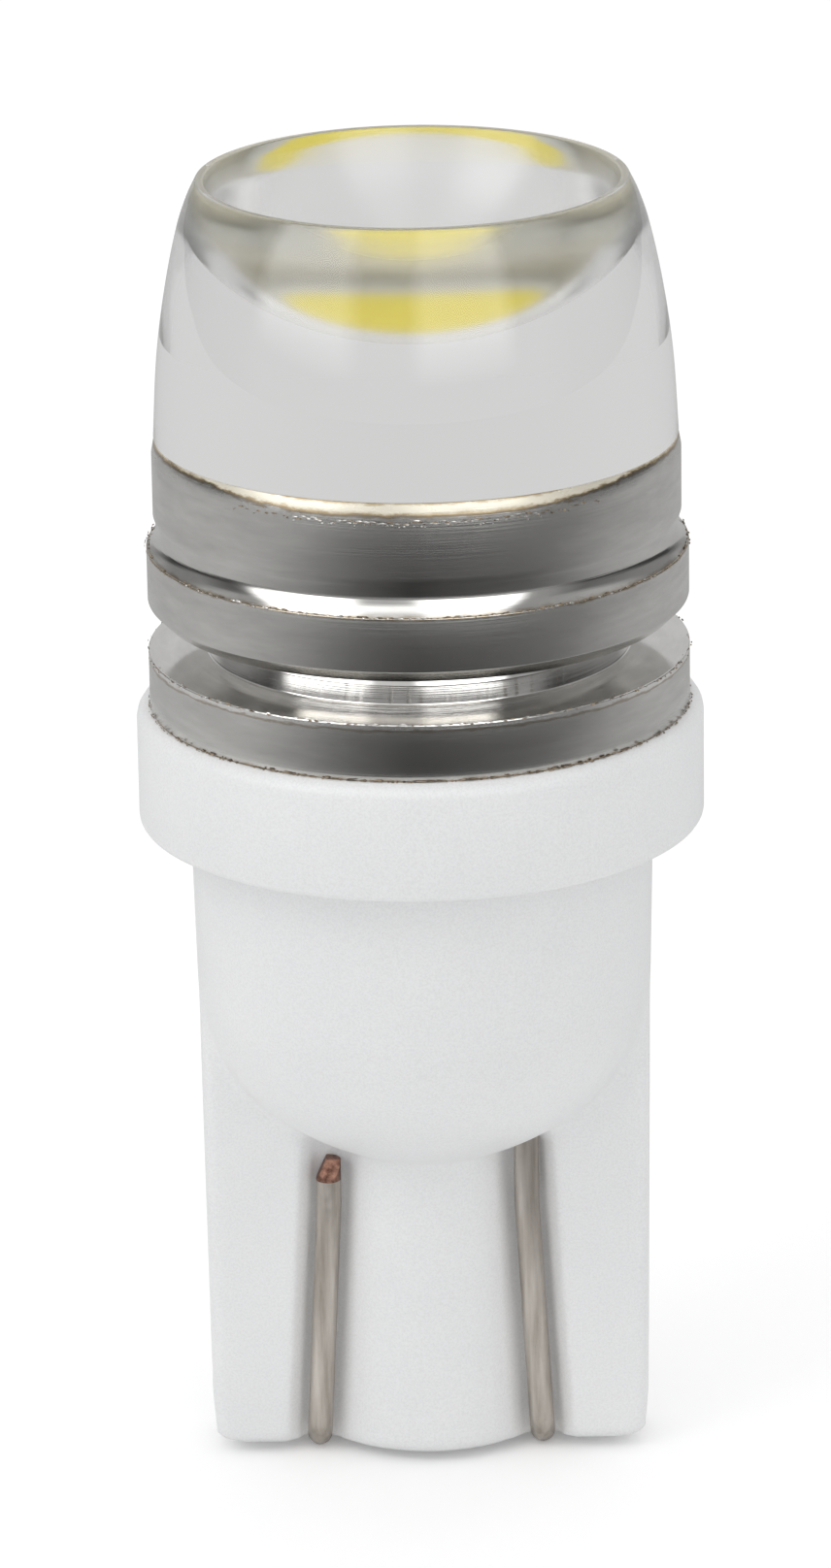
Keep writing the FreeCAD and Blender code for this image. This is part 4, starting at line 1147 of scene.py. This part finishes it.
specks("sleeve_burrs", SLEEVE, SLEEVE_TOP - 0.42, 27, 70, 3, burr, 0.07)
specks("sleeve_dirt", SLEEVE, SLEEVE_TOP - 0.40, 42, 80, 5, dirt, 0.05)
specks("upper_fin_dirt", UPPER_FIN - 0.01, FIN_TOP, 180, 330, 7, dirt)
specks("upper_fin_burrs", UPPER_FIN - 0.01, FIN_TOP - 0.01, 60, 80, 11, burr)
specks("lower_fin_dirt", LOWER_FIN - 0.01, GROOVE_FLOOR - 0.03, 180, 260, 13, dirt, 0.03)
specks("lower_fin_burrs", LOWER_FIN - 0.01, GROOVE_FLOOR - 0.02, 75, 120, 17, burr)
specks("joint_dirt", LOWER_FIN + 0.01, COLLAR_TOP + 0.02, 180, 420, 19, dirt, 0.015)

# %% [markdown]
# ## The light emitter and the parts inside
# The emitter is seen only through the lens: a yellow phosphor in a white frame, on a white board.
# The driver inside the base is never seen, but each part still gets its own finish.

# %% Finishes for the inner parts


def mottled(name, dark, light, roughness, metallic=0.0, scale=1500.0, relief=0.2, glow=0.0):
    """Finish with a fine cloud of two colours. glow stands for light gathered by the lens."""
    made, tree, shader = new_material(name)
    cloud = noise(tree, object_place(tree), 4.0, 0.6, scale)
    link(tree, ramp(tree, cloud, ((0.35, dark), (0.65, light))), shader.inputs["Base Color"])
    rough = ramp(tree, cloud, ((0.35, roughness * 0.85), (0.65, roughness * 1.15)))
    link(tree, rough, shader.inputs["Roughness"])
    link(tree, bump(tree, cloud, relief, 0.00002), shader.inputs["Normal"])
    shader.inputs["Metallic"].default_value = metallic
    shader.inputs["Emission Color"].default_value = (*light, 1)
    shader.inputs["Emission Strength"].default_value = glow
    return made


INNER = {
    # The phosphor's glow is painted light: the LED is off, and the glow stands for light that the lens
    # gathers onto it.
    "led_phosphor": mottled("yellow_phosphor", (0.80, 0.66, 0.04), (0.90, 0.78, 0.10), 0.45, scale=6000.0,
                            glow=0.20),
    "led_frame": mottled("white_frame", (0.80, 0.80, 0.77), (0.87, 0.87, 0.85), 0.5),
    "led_board": mottled("white_mask", (0.74, 0.75, 0.73), (0.84, 0.84, 0.83), 0.5),
    "led_slug": mottled("plated_copper", (0.62, 0.38, 0.26), (0.74, 0.50, 0.36), 0.3, 1.0),
    "led_die": mottled("die", (0.30, 0.34, 0.42), (0.42, 0.46, 0.52), 0.25),
    "led_lead_plus": mottled("tinned_lead", (0.55, 0.55, 0.54), (0.72, 0.72, 0.70), 0.35, 0.9),
    "driver_board": mottled("green_mask", (0.03, 0.16, 0.07), (0.05, 0.24, 0.11), 0.4),
    "rectifier_chip": mottled("black_epoxy", (0.015, 0.015, 0.016), (0.035, 0.035, 0.036), 0.55),
    "chip_capacitor": mottled("tan_ceramic", (0.40, 0.28, 0.17), (0.52, 0.38, 0.25), 0.4),
    "chip_resistor_1": mottled("dark_glaze", (0.02, 0.02, 0.024), (0.05, 0.05, 0.06), 0.3),
    "solder_joint_left": mottled("bright_solder", (0.55, 0.55, 0.56), (0.75, 0.75, 0.76), 0.28, 1.0),
    "feed_wire_plus": mottled("red_sleeving", (0.45, 0.02, 0.015), (0.6, 0.04, 0.03), 0.35),
    "feed_wire_minus": mottled("black_sleeving", (0.012, 0.012, 0.012), (0.03, 0.03, 0.03), 0.35),
}
for twin, first in (("led_lead_minus", "led_lead_plus"), ("regulator_chip", "rectifier_chip"),
                    ("chip_resistor_2", "chip_resistor_1"), ("solder_joint_right", "solder_joint_left")):
    INNER[twin] = INNER[first]
for node, finish in INNER.items():
    nodes[node].data.materials.clear()
    nodes[node].data.materials.append(finish)
print(len(INNER), "inner parts dressed")

# %% Plain view transform
scene.view_settings.view_transform = "Standard"
